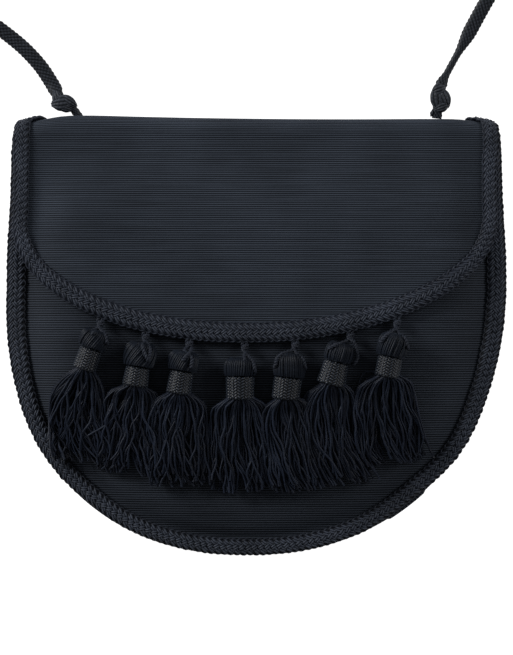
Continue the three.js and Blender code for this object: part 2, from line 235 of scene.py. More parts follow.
def note(mesh: Mesh, name: str, values: Array) -> None:
    """Writes a number or a vector for each point of a mesh, which its material or node tree reads.

    Args:
        mesh: The mesh.
        name: The attribute's name.
        values: A number or a vector for each point.
    """
    kind, key = ("FLOAT", "value") if values.ndim == 1 else ("FLOAT_VECTOR", "vector")
    attribute = mesh.attributes.new(name, kind, "POINT")
    attribute.data.foreach_set(key, values.astype(np.float32).ravel())


def lines_mesh(name: str, lines: Sequence[Array], **notes: Array) -> Mesh:
    """Makes a mesh of open lines of points, as the seed of a node tree.

    Args:
        name: The mesh's name.
        lines: Each line's points in millimetres.
        notes: Values at the points, in the order of the lines.

    Returns:
        The mesh, in metres.
    """
    edges, first = [], 0
    for line in lines:
        edges += [(i, i + 1) for i in range(first, first + len(line) - 1)]
        first += len(line)
    mesh = build_mesh(name, np.vstack(lines), edges=edges)
    for key, values in notes.items():
        note(mesh, key, values)
    return mesh


def ring_mesh(name: str, rings: Array, lift: Array | float, looped: bool = False) -> Mesh:
    """Makes a closed tube over rings of points that run round it in the same way.

    Args:
        name: The mesh's name.
        rings: The rings' points in millimetres.
        lift: How high each point lies in its weave, from -1 to 1.
        looped: Whether the last ring meets the first one, instead of both being closed by a face.

    Returns:
        The mesh, in metres.
    """
    count, size = rings.shape[:2]
    ring = np.arange(count if looped else count - 1)[:, None]
    base, after = ring * size, (ring + 1) % count * size
    here, there = np.arange(size), (np.arange(size) + 1) % size
    quads = np.stack([base + here, base + there, after + there, after + here], axis=-1)
    ends = [] if looped else [list(range(size))[::-1], list(range((count - 1) * size, count * size))]
    mesh = build_mesh(name, rings.reshape(-1, 3), quads.reshape(-1, 4).tolist() + ends)
    note(mesh, "lift", np.broadcast_to(lift, (count, size)).ravel())
    return mesh


def joined(mesh: Mesh, *others: Mesh) -> Mesh:
    """Adds other meshes' points and faces to a mesh, which is given back.

    Args:
        mesh: The mesh that is added to.
        others: The meshes that are added.

    Returns:
        The first mesh.
    """
    work = bmesh.new()
    for source in (mesh, *others):
        work.from_mesh(source)
    work.to_mesh(mesh)
    work.free()
    return mesh


def in_scene(name: str, data: Any) -> Object:
    """Makes an object of a mesh, a light or a camera and puts it into the scene.

    Args:
        name: The object's name.
        data: Its mesh, light or camera.

    Returns:
        The object.
    """
    made = bpy.data.objects.new(name, data)
    bpy.context.scene.collection.objects.link(made)
    return made


def grow(name: str, seed: Mesh, tree: NodeTree, values: dict[str, Any]) -> Mesh:
    """Runs a node tree on a seed mesh.

    Args:
        name: The name of the mesh that it gives.
        seed: The mesh that the tree starts from.
        tree: The geometry node tree.
        values: The tree's named inputs.

    Returns:
        The result as a plain mesh.
    """
    holder = in_scene(f"{name}_seed", seed)
    modifier = holder.modifiers.new(tree.name, "NODES")
    modifier.node_group = tree
    for item in tree.interface.items_tree:
        if item.in_out == "INPUT" and item.name in values:
            modifier[item.identifier] = values[item.name]
    depsgraph = bpy.context.evaluated_depsgraph_get()
    mesh = bpy.data.meshes.new_from_object(
        holder.evaluated_get(depsgraph), preserve_all_data_layers=True, depsgraph=depsgraph
    )
    mesh.name = name
    holder.modifiers.remove(modifier)
    bpy.data.objects.remove(holder)
    return mesh


def show(name: str, mesh: Mesh, finish: Material, slot: Slot, stands_for: Sequence[str]) -> Object:
    """Makes a finished piece of the bag.

    Args:
        name: The piece's name.
        mesh: Its mesh, in place.
        finish: Its material.
        slot: The record's slot for that material; not used.
        stands_for: The frame's nodes that it is shown for.

    Returns:
        The piece's object.
    """
    mesh.materials.clear()
    mesh.materials.append(finish)
    piece = in_scene(name, mesh)
    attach(piece, BODY)
    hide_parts(*stands_for)
    mesh.calc_loop_triangles()
    log.info("%s: %d triangles", name, len(mesh.loop_triangles))
    return piece


# ---- finishes
def shaded(tree: NodeTree, colour: NodeSocket, noises: Sequence[Node], spread: float) -> Node:
    """Makes a colour lighter and darker by up to a share, as two noises rise and fall together.

    Args:
        tree: The material's node tree.
        colour: The colour.
        noises: The two noises.
        spread: The share.

    Returns:
        The node that gives the new colour.
    """
    both = add(tree, MATH, noises, "ADD")
    shade = add(tree, "ShaderNodeMapRange", {
        "Value": both, "From Min": 0.7, "From Max": 1.3, "To Min": 1 - spread, "To Max": 1 + spread,
    })
    return add(tree, VECTOR, {0: colour, "Scale": shade}, "SCALE")


def coat(tree: NodeTree, height: Node, strength: float, look: dict[str, Any]) -> None:
    """Ends a material: fine relief from a height, the shader's values, and the output.

    Args:
        tree: The material's node tree.
        height: What gives the relief.
        strength: How strong it is.
        look: The shader's values.
    """
    relief = add(tree, "ShaderNodeBump", {"Strength": strength, "Distance": 0.1 * MM, "Height": height})
    shader = add(tree, "ShaderNodeBsdfPrincipled", {"Normal": relief, **look})
    add(tree, "ShaderNodeOutputMaterial", [shader])


@dataclass(frozen=True)
class Faille:
    """Rayon faille: thick filling threads under a fine warp, so the cloth lies in close, soft-edged ribs.

    It looks matt and slightly blue, with thin painted-shade lines between the ribs and a few specks of lint.
    """

    name: str
    rib: str
    # The colour of the line between two ribs is painted shade.
    groove_shade: str
    lint: str = "#4c4f56"
    groove_shade_fade: Pair = (0.08, 0.36)  # where the dark fades, in ribs from the line between two
    slub: Pair = (0.03, 0.9)  # its grains a millimetre along the thread, and a rib across it
    lint_every: float = 12.0  # mm between specks
    lint_size: float = 0.016  # of that distance
    lint_rare: float = 0.72  # the share of cells that hold no speck
    warp_pitch: float = 0.5  # mm: twice the real warp's pitch, so that it shows

    def material(self) -> Material:
        """Builds the material, which reads the weave map: U in millimetres across, V in ribs.

        Returns:
            The material.
        """
        made = bpy.data.materials.new(self.name)
        tree = bare_tree(made)
        node = partial(add, tree)
        weave = node("ShaderNodeUVMap", uv_map="weave")
        place = node("ShaderNodeTexCoord").outputs["Object"]
        split = node("ShaderNodeSeparateXYZ", [weave])

        # Painted shade in the groove between two ribs: the distance to it, in rib widths, sets the colour.
        line = node(MATH, [split.outputs[1], 0.5], "PINGPONG")
        dark, light = self.groove_shade_fade
        crest = node(
            "ShaderNodeMapRange", {"Value": line, "From Min": dark, "From Max": light},
            interpolation_type="SMOOTHSTEP",
        )
        ribbed = node(
            "ShaderNodeMix", {"Factor": crest, 6: linear(self.groove_shade), 7: linear(self.rib)}, data_type="RGBA",
        )

        # Slubs: each filling thread is a little lighter or darker over a few centimetres.
        drawn = node("ShaderNodeMapping", {"Vector": weave, "Scale": (*self.slub, 1.0)})
        slub = node("ShaderNodeTexNoise", {"Vector": drawn, "Scale": 1.0, "Detail": 3.0})
        cloudy = node("ShaderNodeTexNoise", {"Vector": place, "Scale": 28.0, "Detail": 2.0})
        varied = shaded(tree, ribbed.outputs[2], (slub, cloudy), 0.26)

        # Lint: one cell in a few holds a speck.
        cells = node("ShaderNodeTexVoronoi", {"Vector": place, "Scale": 1000.0 / self.lint_every})
        near = node(MATH, [cells.outputs["Distance"], self.lint_size], "LESS_THAN")
        some = node("ShaderNodeSeparateColor", [cells.outputs["Color"]])
        chosen = node(MATH, [some, self.lint_rare], "GREATER_THAN")
        speck = node(MATH, [near, chosen], "MULTIPLY")
        colour = node("ShaderNodeMix", {"Factor": speck, 6: varied, 7: linear(self.lint)}, data_type="RGBA")

        # The warp crosses the ribs as fine threads.
        warp = node(MATH, [split, self.warp_pitch / 2], "PINGPONG")
        coat(tree, node(MATH, [warp, slub], "ADD"), 0.35, {
            "Base Color": colour.outputs[2], "Roughness": 0.7, "Specular IOR Level": 0.06,
            "Sheen Weight": 0.03, "Sheen Roughness": 0.5, "Sheen Tint": linear("#8f98a8"),
        })
        return made


@dataclass(frozen=True)
class Thread:
    """Rayon thread, plaited, wound or hanging: painted shade where it dives, shine and painted light atop."""

    name: str
    crest: str
    hollow_shade: str
    roughness: float
    shine: float
    fibre: float = 0.35  # mm between the twisted fibres
    coarser: float = 4.0  # times as coarse as those, so that the grain shows

    def material(self) -> Material:
        """Builds the material, which reads how high each point of a thread lies: 'lift', from -1 to 1.

        Returns:
            The material.
        """
        made = bpy.data.materials.new(self.name)
        tree = bare_tree(made)
        node = partial(add, tree)
        lift = node("ShaderNodeAttribute", attribute_name="lift").outputs["Fac"]
        place = node("ShaderNodeTexCoord").outputs["Object"]
        size = self.fibre * self.coarser
        grain = node("ShaderNodeTexNoise", {"Vector": place, "Scale": 1000.0 / size, "Detail": 3.0})
        patches = node("ShaderNodeTexNoise", {"Vector": place, "Scale": 60.0, "Detail": 2.0})
        # Painted shade in the hollow where a thread dives, painted light on its crest, by 'lift'.
        raised = node(
            "ShaderNodeMapRange", {"Value": lift, "From Min": -0.5, "From Max": 1.0},
            interpolation_type="SMOOTHSTEP",
        )
        body = node(
            "ShaderNodeMix", {"Factor": raised, 6: linear(self.hollow_shade), 7: linear(self.crest)},
            data_type="RGBA",
        )
        coat(tree, grain, 0.3, {
            "Base Color": shaded(tree, body.outputs[2], (grain, patches), 0.35), "Roughness": self.roughness,
            "Specular IOR Level": self.shine, "Sheen Weight": 0.02, "Sheen Roughness": 0.4,
            "Sheen Tint": linear("#9aa3b2"),
        })
        return made


def built(finish: Faille | Thread) -> Any:
    """A field that holds a finish's material, which is built with the finishes."""
    return field(default_factory=finish.material)


@dataclass(frozen=True)
class Finishes:
    """The finishes of the whole bag, all rayon and nearly black."""

    # Woven: matt. The pouch's copy of the cloth is painted darker than the flap's, as painted shade.
    flap: Material = built(Faille("rayon_faille_flap", "#2c3139", "#06080c"))
    pouch: Material = built(Faille("rayon_faille_pouch_shaded", "#262a31", "#030508"))
    # Plaited: shine and painted light on each stitch, painted shade between, darkest on the pouch's braid.
    braid: Material = built(Thread("rayon_braid_plaited", "#2b2f37", "#090b10", 0.5, 0.08))
    edging: Material = built(Thread("rayon_edging_plaited", "#2a2e36", "#15181f", 0.5, 0.08))
    # Loose and wound threads: darker, as light sinks in between them.
    silk: Material = built(Thread("rayon_thread_hanging", "#111620", "#080b13", 0.45, 0.1))
    wound: Material = built(Thread("rayon_thread_wound", "#0d1118", "#020305", 0.45, 0.08))
    # Gimp, drawn tight, shines most. The strap's cord is a little greyer than the braid.
    # The gimp's near-black hollow is the deepest painted shade between stitches.
    gimp: Material = built(Thread("rayon_gimp_plaited", "#252a32", "#020305", 0.36, 0.15))
    cord: Material = built(Thread("rayon_cord_braided", "#2a2d33", "#05070a", 0.5, 0.1))


# ---- the bag's form
@dataclass(frozen=True)
class Outline:
    """A D outline: sides down to the shoulder, then a superellipse to the foot, which hangs to the left."""

    shoulder: float  # height where the sides end
    half: float  # half the width there
    depth: float  # of the foot below the shoulder
    power: float  # of the superellipse
    lean: float  # how far to the left the lowest point hangs
    swell: tuple[tuple[float, float, float], ...] = ()  # angle, spread and height of fuller stretches
    sides: tuple[Pair, ...] = (  # height, and half the width there
        (20.0, 113.1), (36.0, 112.9), (47.0, 112.3), (62.0, 111.4),
        (82.0, 110.9), (90.0, 110.3), (95.0, 108.9), (98.5, 106.4),
    )

    def half_at(self, y: Array | float) -> Array:
        """Half width above the shoulder."""
        return np.minimum(self.half, np.interp(y, *np.transpose(self.sides)))

    def foot(self, angle: Array) -> Array:
        """The lower part of the outline.

        Args:
            angle: Degrees, from 180 at the left shoulder to 360 at the right one.

        Returns:
            The point at each angle.
        """
        turn = np.radians(angle)
        drop = np.abs(np.sin(turn)) ** (2 / self.power)
        across = power_of(np.cos(turn), 2 / self.power)
        points = np.stack([self.half * across - self.lean * drop, -self.depth * drop], axis=-1)
        fuller = sum(height * np.exp(-(((angle - at) / spread) ** 2)) for at, spread, height in self.swell)
        return points + unit(points) * np.reshape(fuller, (-1, 1)) + np.array([0.0, self.shoulder])

    def edge(self, top: float, step: float) -> Array:
        """The outline from its left top round the foot to its right top.

        Args:
            top: Height of its two ends.
            step: The distance between its points.

        Returns:
            Evenly spaced points.
        """
        rise = np.linspace(top, self.shoulder, 60)[:-1]
        left = np.stack([-self.half_at(rise), rise], axis=-1)
        right = (left * (-1, 1))[::-1]
        line = np.vstack([left, self.foot(np.linspace(180, 360, 721)), right])
        return evenly(line, step)[0]

    def span(self, y: float, inset: float) -> Pair:
        """How far a row across the outline reaches.

        Args:
            y: The row's height.
            inset: How far it stays inside the outline.

        Returns:
            Its left and right end.
        """
        if y >= self.shoulder:
            half = float(self.half_at(y)) - inset
            return -half, half
        drop = min(1.0, (self.shoulder - y) / (self.depth - inset))
        half = (self.half - inset) * (1 - drop**self.power) ** (1 / self.power)
        return -half - self.lean * drop, half - self.lean * drop

    def foot_y(self, x: float) -> float:
        """Height of the lower edge at x."""
        found = self.foot(np.linspace(180, 360, 2001))
        return float(np.interp(x, found[:, 0], found[:, 1]))


@dataclass(frozen=True)
class BagForm:
    """The surfaces that the bag's cloths and trimmings follow, in millimetres."""

    pouch: Outline = Outline(20.0, 113.1, 119.9, 2.2, 4.2, swell=(
        (213.0, 14.0, 0.8), (232.0, 8.0, -0.5), (309.0, 9.0, -1.0), (326.0, 11.0, 1.3),
    ))
    flap: Outline = Outline(55.0, 110.6, 58.9, 2.08, 4.5)
    wall: float = 1.5
    # The front panel: a ledge under the braid, then a rise to the crown; its top edge is the mouth.
    seam: float = 6.0  # height of its sewn edge
    slope: float = 0.21
    ledge: float = 9.4
    crown: float = 16.5
    reach: float = 46.0  # how far in the rise goes on
    mouth_y: float = 91.0
    mouth_z: float = 9.9
    lip: float = 4.0  # how far above the mouth the panel would be down at the mouth's height
    # The back panel: flat on the table, turned up towards the seam.
    back_seam: float = 3.9
    back_reach: float = 15.0
    back_top: float = 84.0
    # The flap lies on the front and on the pouch's braid, and folds round the top, drawn in at both ends.
    on_braid: float = 12.0
    on_front: float = 0.9
    fold_depth: float = 6.6
    fold_spare: float = 4.0  # how far beyond the fold's ends the cloth's edge is taken from
    fold_line: tuple[Pair, ...] = (  # x, and how far up the bag the fold reaches there
        (-111, 92.6), (-105, 94.6), (-100, 96.0), (-96, 96.8), (-92, 97.6), (-86, 98.4), (-75, 98.6),
        (-50, 98.0), (-25, 97.5), (0, 97.15), (25, 96.95), (50, 96.93), (75, 97.05), (90, 96.9), (96, 96.3),
        (100, 95.6), (105, 94.4), (111, 92.6),
    )
    # What the tassels lie on near the edge: the top of the pouch's braid.
    braid_top: float = 11.2
    braid_reach: float = 12.0
    braid_fall: float = 2.5  # over how much it goes down to the cloth

    def inset(self, x: Array, y: Array) -> Array:
        """How far points lie inside the pouch's outer edge.

        Args:
            x, y: Their places across the bag and up it.

        Returns:
            The distance of each from the edge.
        """
        edge = self.pouch.edge(100.0, 3.0)
        start, step = edge[:-1], np.diff(edge, axis=0)
        x, y = np.broadcast_arrays(x, y)
        flat = np.stack([x.ravel(), y.ravel()], axis=-1)
        found = []
        for some in np.array_split(flat, len(flat) // 4000 + 1):  # a few thousand at a time, to save memory
            away = some[:, None, :] - start[None]
            along = np.clip((away * step).sum(-1) / (step * step).sum(-1), 0, 1)
            found.append(np.linalg.norm(away - along[..., None] * step, axis=-1).min(1))
        return np.concatenate(found).reshape(x.shape)

    def front_top(self, x: Array, y: Array) -> Array:
        """Height of the front panel's outer face.

        Args:
            x, y: Places across the bag and up it.

        Returns:
            The height at each.
        """
        inset = self.inset(x, y)
        ledge = self.seam + self.slope * np.minimum(inset, self.ledge)
        crown = lerp(self.mouth_z, self.crown, ease((self.mouth_y + self.lip - y) / self.reach))
        rise = 1 - (1 - np.clip((inset - self.ledge) / self.reach, 0, 1)) ** 4
        return lerp(ledge, crown, rise)

    def back_under(self, x: Array, y: Array) -> Array:
        """Height of the back panel's outer face, which looks down."""
        return self.back_seam * (1 - np.clip(self.inset(x, y) / self.back_reach, 0, 1)) ** 2

    def flap_top(self, x: Array, y: Array) -> Array:
        """Height of the flap's outer face where it lies on the front.

        Args:
            x, y: Places across the bag and up it.

        Returns:
            The height at each.
        """
        on_front = self.front_top(x, y) + self.on_front
        share = np.clip(0.5 + (self.on_braid - on_front) / 2, 0, 1)
        return lerp(on_front, self.on_braid, share) + share * (1 - share) + self.wall

    def fold(self, x: Array | float, turn: float) -> Array:
        """Points of the flap's outer face round the fold.

        Args:
            x: Their places across the bag.
            turn: Degrees round the fold: 0 faces the front, 180 the back.

        Returns:
            The points.
        """
        x = np.asarray(x, float)
        y = self.fold_edge(x) - self.fold_depth
        front, back = self.flap_top(x, y), self.back_under(x, y)
        angle = math.radians(turn)
        middle, half = (front + back) / 2, (front - back) / 2
        return np.stack([x, y + self.fold_depth * math.sin(angle), middle + half * math.cos(angle)], axis=-1)

    def fold_edge(self, x: Array) -> Array:
        """How far up the bag the fold reaches."""
        line = smooth_curve(np.array(self.fold_line, float), 12)
        return np.interp(x, line[:, 0], line[:, 1])

    def fold_height(self, turn: float) -> float:
        """How far up the bag the cloth's edge is taken from at a turn of the fold."""
        drop = self.fold_depth * (1 - math.sin(math.radians(turn)))
        return self.fold_line[0][1] + self.fold_spare - drop

    def flap_normal(self, x: Array, y: Array) -> Array:
        """Outward direction of the flap's face on the front.

        Args:
            x, y: Places across the bag and up it.

        Returns:
            The direction at each.
        """
        slope_x = (self.flap_top(x + 1, y) - self.flap_top(x - 1, y)) / 2
        slope_y = (self.flap_top(x, y + 1) - self.flap_top(x, y - 1)) / 2
        return unit(np.stack([-slope_x, -slope_y, np.ones_like(slope_x)], axis=-1))

    def ground(self, x: Array, y: Array) -> Array:
        """What a tassel lies on: the front panel, and near the edge the top of the pouch's braid."""
        near_edge = ease((self.braid_reach - self.inset(x, y)) / self.braid_fall)
        return np.maximum(self.front_top(x, y), near_edge * self.braid_top)


FORM = BagForm()


# ---- cloth
@dataclass
class RibbedCloths:
    """The back, the front and the flap, each a wall of ribbed cloth with its ribs across the bag."""

    pouch_finish: Material
    flap_finish: Material
    pouch_rib: float = 1.04
    flap_rib: float = 0.98
    relief: float = 0.2  # how far a rib stands above the line beside it
    rows_per_rib: int = 4
    profile: tuple[float, ...] = (-1.0, 0.35, 1.0, 0.35)  # a rib's section, from one line to the next
    columns: int = 44
    inset: float = 0.45  # the cut edge lies this far inside the braid's outer edge
    foot_gap: float = 0.2  # and the lowest row this much higher
    flap_inset: float = 3.0
    flap_foot_gap: float = 0.15
    gap: float = 0.05  # between the back and the flap
    fold_step: float = 9.0  # degrees round the fold from one guide to the next
    flap_guides: int = 90  # guides on the front
    over_fold: float = 16.0  # the ribs are evenly spaced this far up from the first straight one
    wave_height: float = 0.16
    calm_edge: Pair = (112.5, 118.6)  # half width and depth of the form where no wave is left
    flap_shift: Pair = (31.0, 9.0)  # of the flap's waves against the front's
    flap_calm: Pair = (24.0, 20.0)  # where its waves start along it, and how long they grow

    def across(self, left: float, right: float) -> Array:
        """Points across a row, closer together towards both edges."""
        return lerp(left, right, 0.5 - 0.5 * np.cos(np.pi * np.arange(self.columns + 1) / self.columns))

    def wave(self, x: Array, y: Array) -> Array:
        """The slow unevenness of cloth over its backing, flat at the bag's edge.

        Args:
            x, y: Places across the bag and up it.

        Returns:
            How much higher the cloth lies at each.
        """
        slow = np.sin(x / 23 + 0.6) * np.sin(y / 31 + 1.1) + 0.6 * np.sin(x / 13 - y / 17 + 2.0)
        half, depth = self.calm_edge
        inside = 110 * (1 - np.hypot(x / half, np.minimum(y - FORM.pouch.shoulder, 0) / depth))
        return self.wave_height * slow * ease((inside - 8) / 25)

    def front_face(self, x: Array, y: Array) -> Array:
        """Height of the front's cloth."""
        return FORM.front_top(x, y) + self.wave(x, y)

    def back_face(self, x: Array, y: Array) -> Array:
        """Height of the back's cloth, which stands on its ribs."""
        return FORM.back_under(x, y) + self.relief / 2

    def wall(self, name: str, rows: Array) -> Mesh:
        """Makes the closed wall of a cloth under its outer face.

        Args:
            name: The mesh's name.
            rows: Rows of points of the outer face, a rib's profile apart, so that the step down the rows
                crossed with the step along a row points outward.

        Returns:
            The mesh, with its weave map.
        """
        count, size = rows.shape[:2]
        normal = unit(np.cross(np.gradient(rows, axis=0), np.gradient(rows, axis=1)))
        profile = np.array([self.profile[i % self.rows_per_rib] for i in range(count)]) * self.relief / 2
        outer = rows + normal * profile[:, None, None]
        inner = (rows - normal * FORM.wall)[:: self.rows_per_rib]
        first, inner_count = count * size, len(inner)

        # The outer face, the inner one, and the cut edges at both sides and at both ends.
        at = (np.arange(count - 1)[:, None] * size + np.arange(size - 1)).ravel()
        faces = np.stack([at, at + size, at + size + 1, at + 1], -1).tolist()
        at = first + at[: (inner_count - 1) * (size - 1)]
        faces += np.stack([at, at + 1, at + size + 1, at + size], -1).tolist()
        for i in range(inner_count - 1):
            side = np.arange(i * self.rows_per_rib, (i + 1) * self.rows_per_rib + 1) * size
            low, high = first + i * size, first + (i + 1) * size
            faces.append([*side[::-1].tolist(), low, high])
            faces.append([*(side + size - 1).tolist(), high + size - 1, low + size - 1])
        last, last_inner = (count - 1) * size, first + (inner_count - 1) * size
        faces += [[c, c + 1, first + c + 1, first + c] for c in range(size - 1)]
        faces += [[last + c + 1, last + c, last_inner + c, last_inner + c + 1] for c in range(size - 1)]

        mesh = build_mesh(name, np.vstack([outer.reshape(-1, 3), inner.reshape(-1, 3)]), faces)
        turns = np.arange(count) / self.rows_per_rib
        weave = np.stack([rows[..., 0], np.broadcast_to(turns[:, None], (count, size))], -1)
        weave = np.vstack([weave.reshape(-1, 2), weave[:: self.rows_per_rib].reshape(-1, 2)])
        corners = np.empty(len(mesh.loops), np.int32)
        mesh.loops.foreach_get("vertex_index", corners)
        layer = mesh.uv_layers.new(name="weave")
        layer.uv.foreach_set("vector", weave[corners].astype(np.float32).ravel())
        return mesh

    def steps(self, length: float, rib: float) -> int:
        """How many rows cover a length, with a whole number of ribs."""
        return int(length / rib) * self.rows_per_rib + 1

    def panel(self, name: str, node: str, start: float, end: float, face: Callable[..., Array]) -> Object:
        """Builds the front or the back.

        Args:
            name: The piece's name.
            node: The frame's node that it is shown for.
            start: Height of its first row.
            end: Height of its last row.
            face: What gives its outer face's height at places across and up the bag.

        Returns:
            The piece's object.
        """
        heights = np.linspace(start, end, self.steps(abs(end - start), self.pouch_rib))
        x = np.array([self.across(*FORM.pouch.span(y, self.inset)) for y in heights])
        y = np.broadcast_to(heights[:, None], x.shape)
        mesh = self.wall(name, np.stack([x, y, face(x, y)], -1))
        return show(name, mesh, self.pouch_finish, Slot.CLOTH, [node])

    def flap_row(self, y: float) -> Array:
        """Points across the flap at a height above its shoulder."""
        half = float(FORM.flap.half_at(y)) - self.flap_inset
        return self.across(-half, half)

    def guides(self) -> tuple[Array, int]:
        """Rows of the flap's outer face, from the seam on the back round the fold to the lower edge.

        Returns:
            The rows, and how many of them come before the first straight one on the front.
        """
        back_y = FORM.back_top + self.gap
        x = self.flap_row(back_y)
        rows = [np.stack([x, np.full_like(x, back_y), self.back_face(x, back_y)], -1)]
        for turn in np.arange(180, -0.1, -self.fold_step):
            rows.append(FORM.fold(self.flap_row(FORM.fold_height(turn)), turn))
        fold_rows = len(rows)
        top = float(rows[-1][:, 1].min()) - 1.0
        bottom = FORM.flap.shoulder - FORM.flap.depth + self.flap_inset + self.flap_foot_gap
        for y in lerp(top, bottom, np.linspace(0, 1, self.flap_guides)):
            x = self.across(*FORM.flap.span(y, self.flap_inset))
            rows.append(np.stack([x, np.full_like(x, y), FORM.flap_top(x, np.full_like(x, y))], -1))
        return np.array(rows), fold_rows

    def flap(self) -> Object:
        """Builds the flap, with rows a quarter of a rib apart along the cloth.

        Returns:
            The flap's object.
        """
        guides, first = self.guides()
        along = distance_along(guides[:, self.columns // 2])
        at = np.linspace(0, along[-1], self.steps(along[-1], self.flap_rib))
        marks = np.concatenate([[0.0, along[first] - self.over_fold], along[first:]])
        rows = np.empty((len(at), guides.shape[1], 3))
        for c in range(guides.shape[1]):
            own = distance_along(guides[:, c])
            own_marks = np.concatenate([[0.0, own[first] - self.over_fold], own[first:]])
            own_at = np.interp(at, marks, own_marks)
            for k in range(3):
                rows[:, c, k] = np.interp(own_at, own, guides[:, c, k])
        (shift_x, shift_y), (start, growth) = self.flap_shift, self.flap_calm
        wave = self.wave(rows[..., 0] + shift_x, rows[..., 1] + shift_y)
        rows[..., 2] += wave * ease((at - start) / growth)[:, None]
        return show("flap_cloth", self.wall("flap_cloth", rows), self.flap_finish, Slot.CLOTH, ["flap"])

    def build(self) -> None:
        bottom = FORM.pouch.shoulder - FORM.pouch.depth + self.inset + self.foot_gap
        back = self.panel("back_cloth", "back_panel", bottom, FORM.back_top, self.back_face)
        front = self.panel("front_cloth", "front_panel", FORM.mouth_y, bottom, self.front_face)
        flap = self.flap()


# ---- node trees
def start_tree(
    name: str, numbers: Sequence[str], wholes: Sequence[str]
) -> tuple[NodeTree, dict[str, NodeSocket]]:
    """Starts a tree that takes a geometry, named sizes and counts and a finish, and gives a geometry.

    Args:
        name: The tree's name.
        numbers: The names of its sizes.
        wholes: The names of its counts.

    Returns:
        The tree, and what it takes by name.
    """
    tree = bpy.data.node_groups.new(name, "GeometryNodeTree")
    tree.interface.new_socket("Geometry", in_out="OUTPUT", socket_type="NodeSocketGeometry")
    kinds = {"Geometry": "NodeSocketGeometry", "Finish": "NodeSocketMaterial"}
    kinds |= dict.fromkeys(numbers, "NodeSocketFloat") | dict.fromkeys(wholes, "NodeSocketInt")
    for label, kind in kinds.items():
        tree.interface.new_socket(label, in_out="INPUT", socket_type=kind)
    return tree, {socket.name: socket for socket in add(tree, "NodeGroupInput").outputs}


def end_tree(tree: NodeTree, geometry: Node, finish: NodeSocket) -> NodeTree:
    """Ends a tree: smooth shading, instances made real, and the finish.

    Args:
        tree: The tree.
        geometry: What it has made.
        finish: Its finish.

    Returns:
        The tree.
    """
    smooth = add(tree, "GeometryNodeSetShadeSmooth", {"Geometry": geometry})
    real = add(tree, "GeometryNodeRealizeInstances", {"Geometry": smooth})
    dressed = add(tree, "GeometryNodeSetMaterial", {"Geometry": real, "Material": finish})
    add(tree, "NodeGroupOutput", [dressed])
    return tree


def swept(tree: NodeTree, curve: Node, sides: NodeSocket, radius: Any, scale: Any = 1.0) -> Node:
    """Sweeps a round section along curves and closes their ends.

    Args:
        tree: The tree.
        curve: The curves.
        sides: How many sides the section has.
        radius: Its radius.
        scale: What the radius is multiplied by along the curves.

    Returns:
        The node that gives the mesh.
    """
    circle = add(tree, "GeometryNodeCurvePrimitiveCircle", {"Resolution": sides, "Radius": radius})
    return add(tree, "GeometryNodeCurveToMesh", {
        "Curve": curve, "Profile Curve": circle, "Scale": scale, "Fill Caps": True,
    })


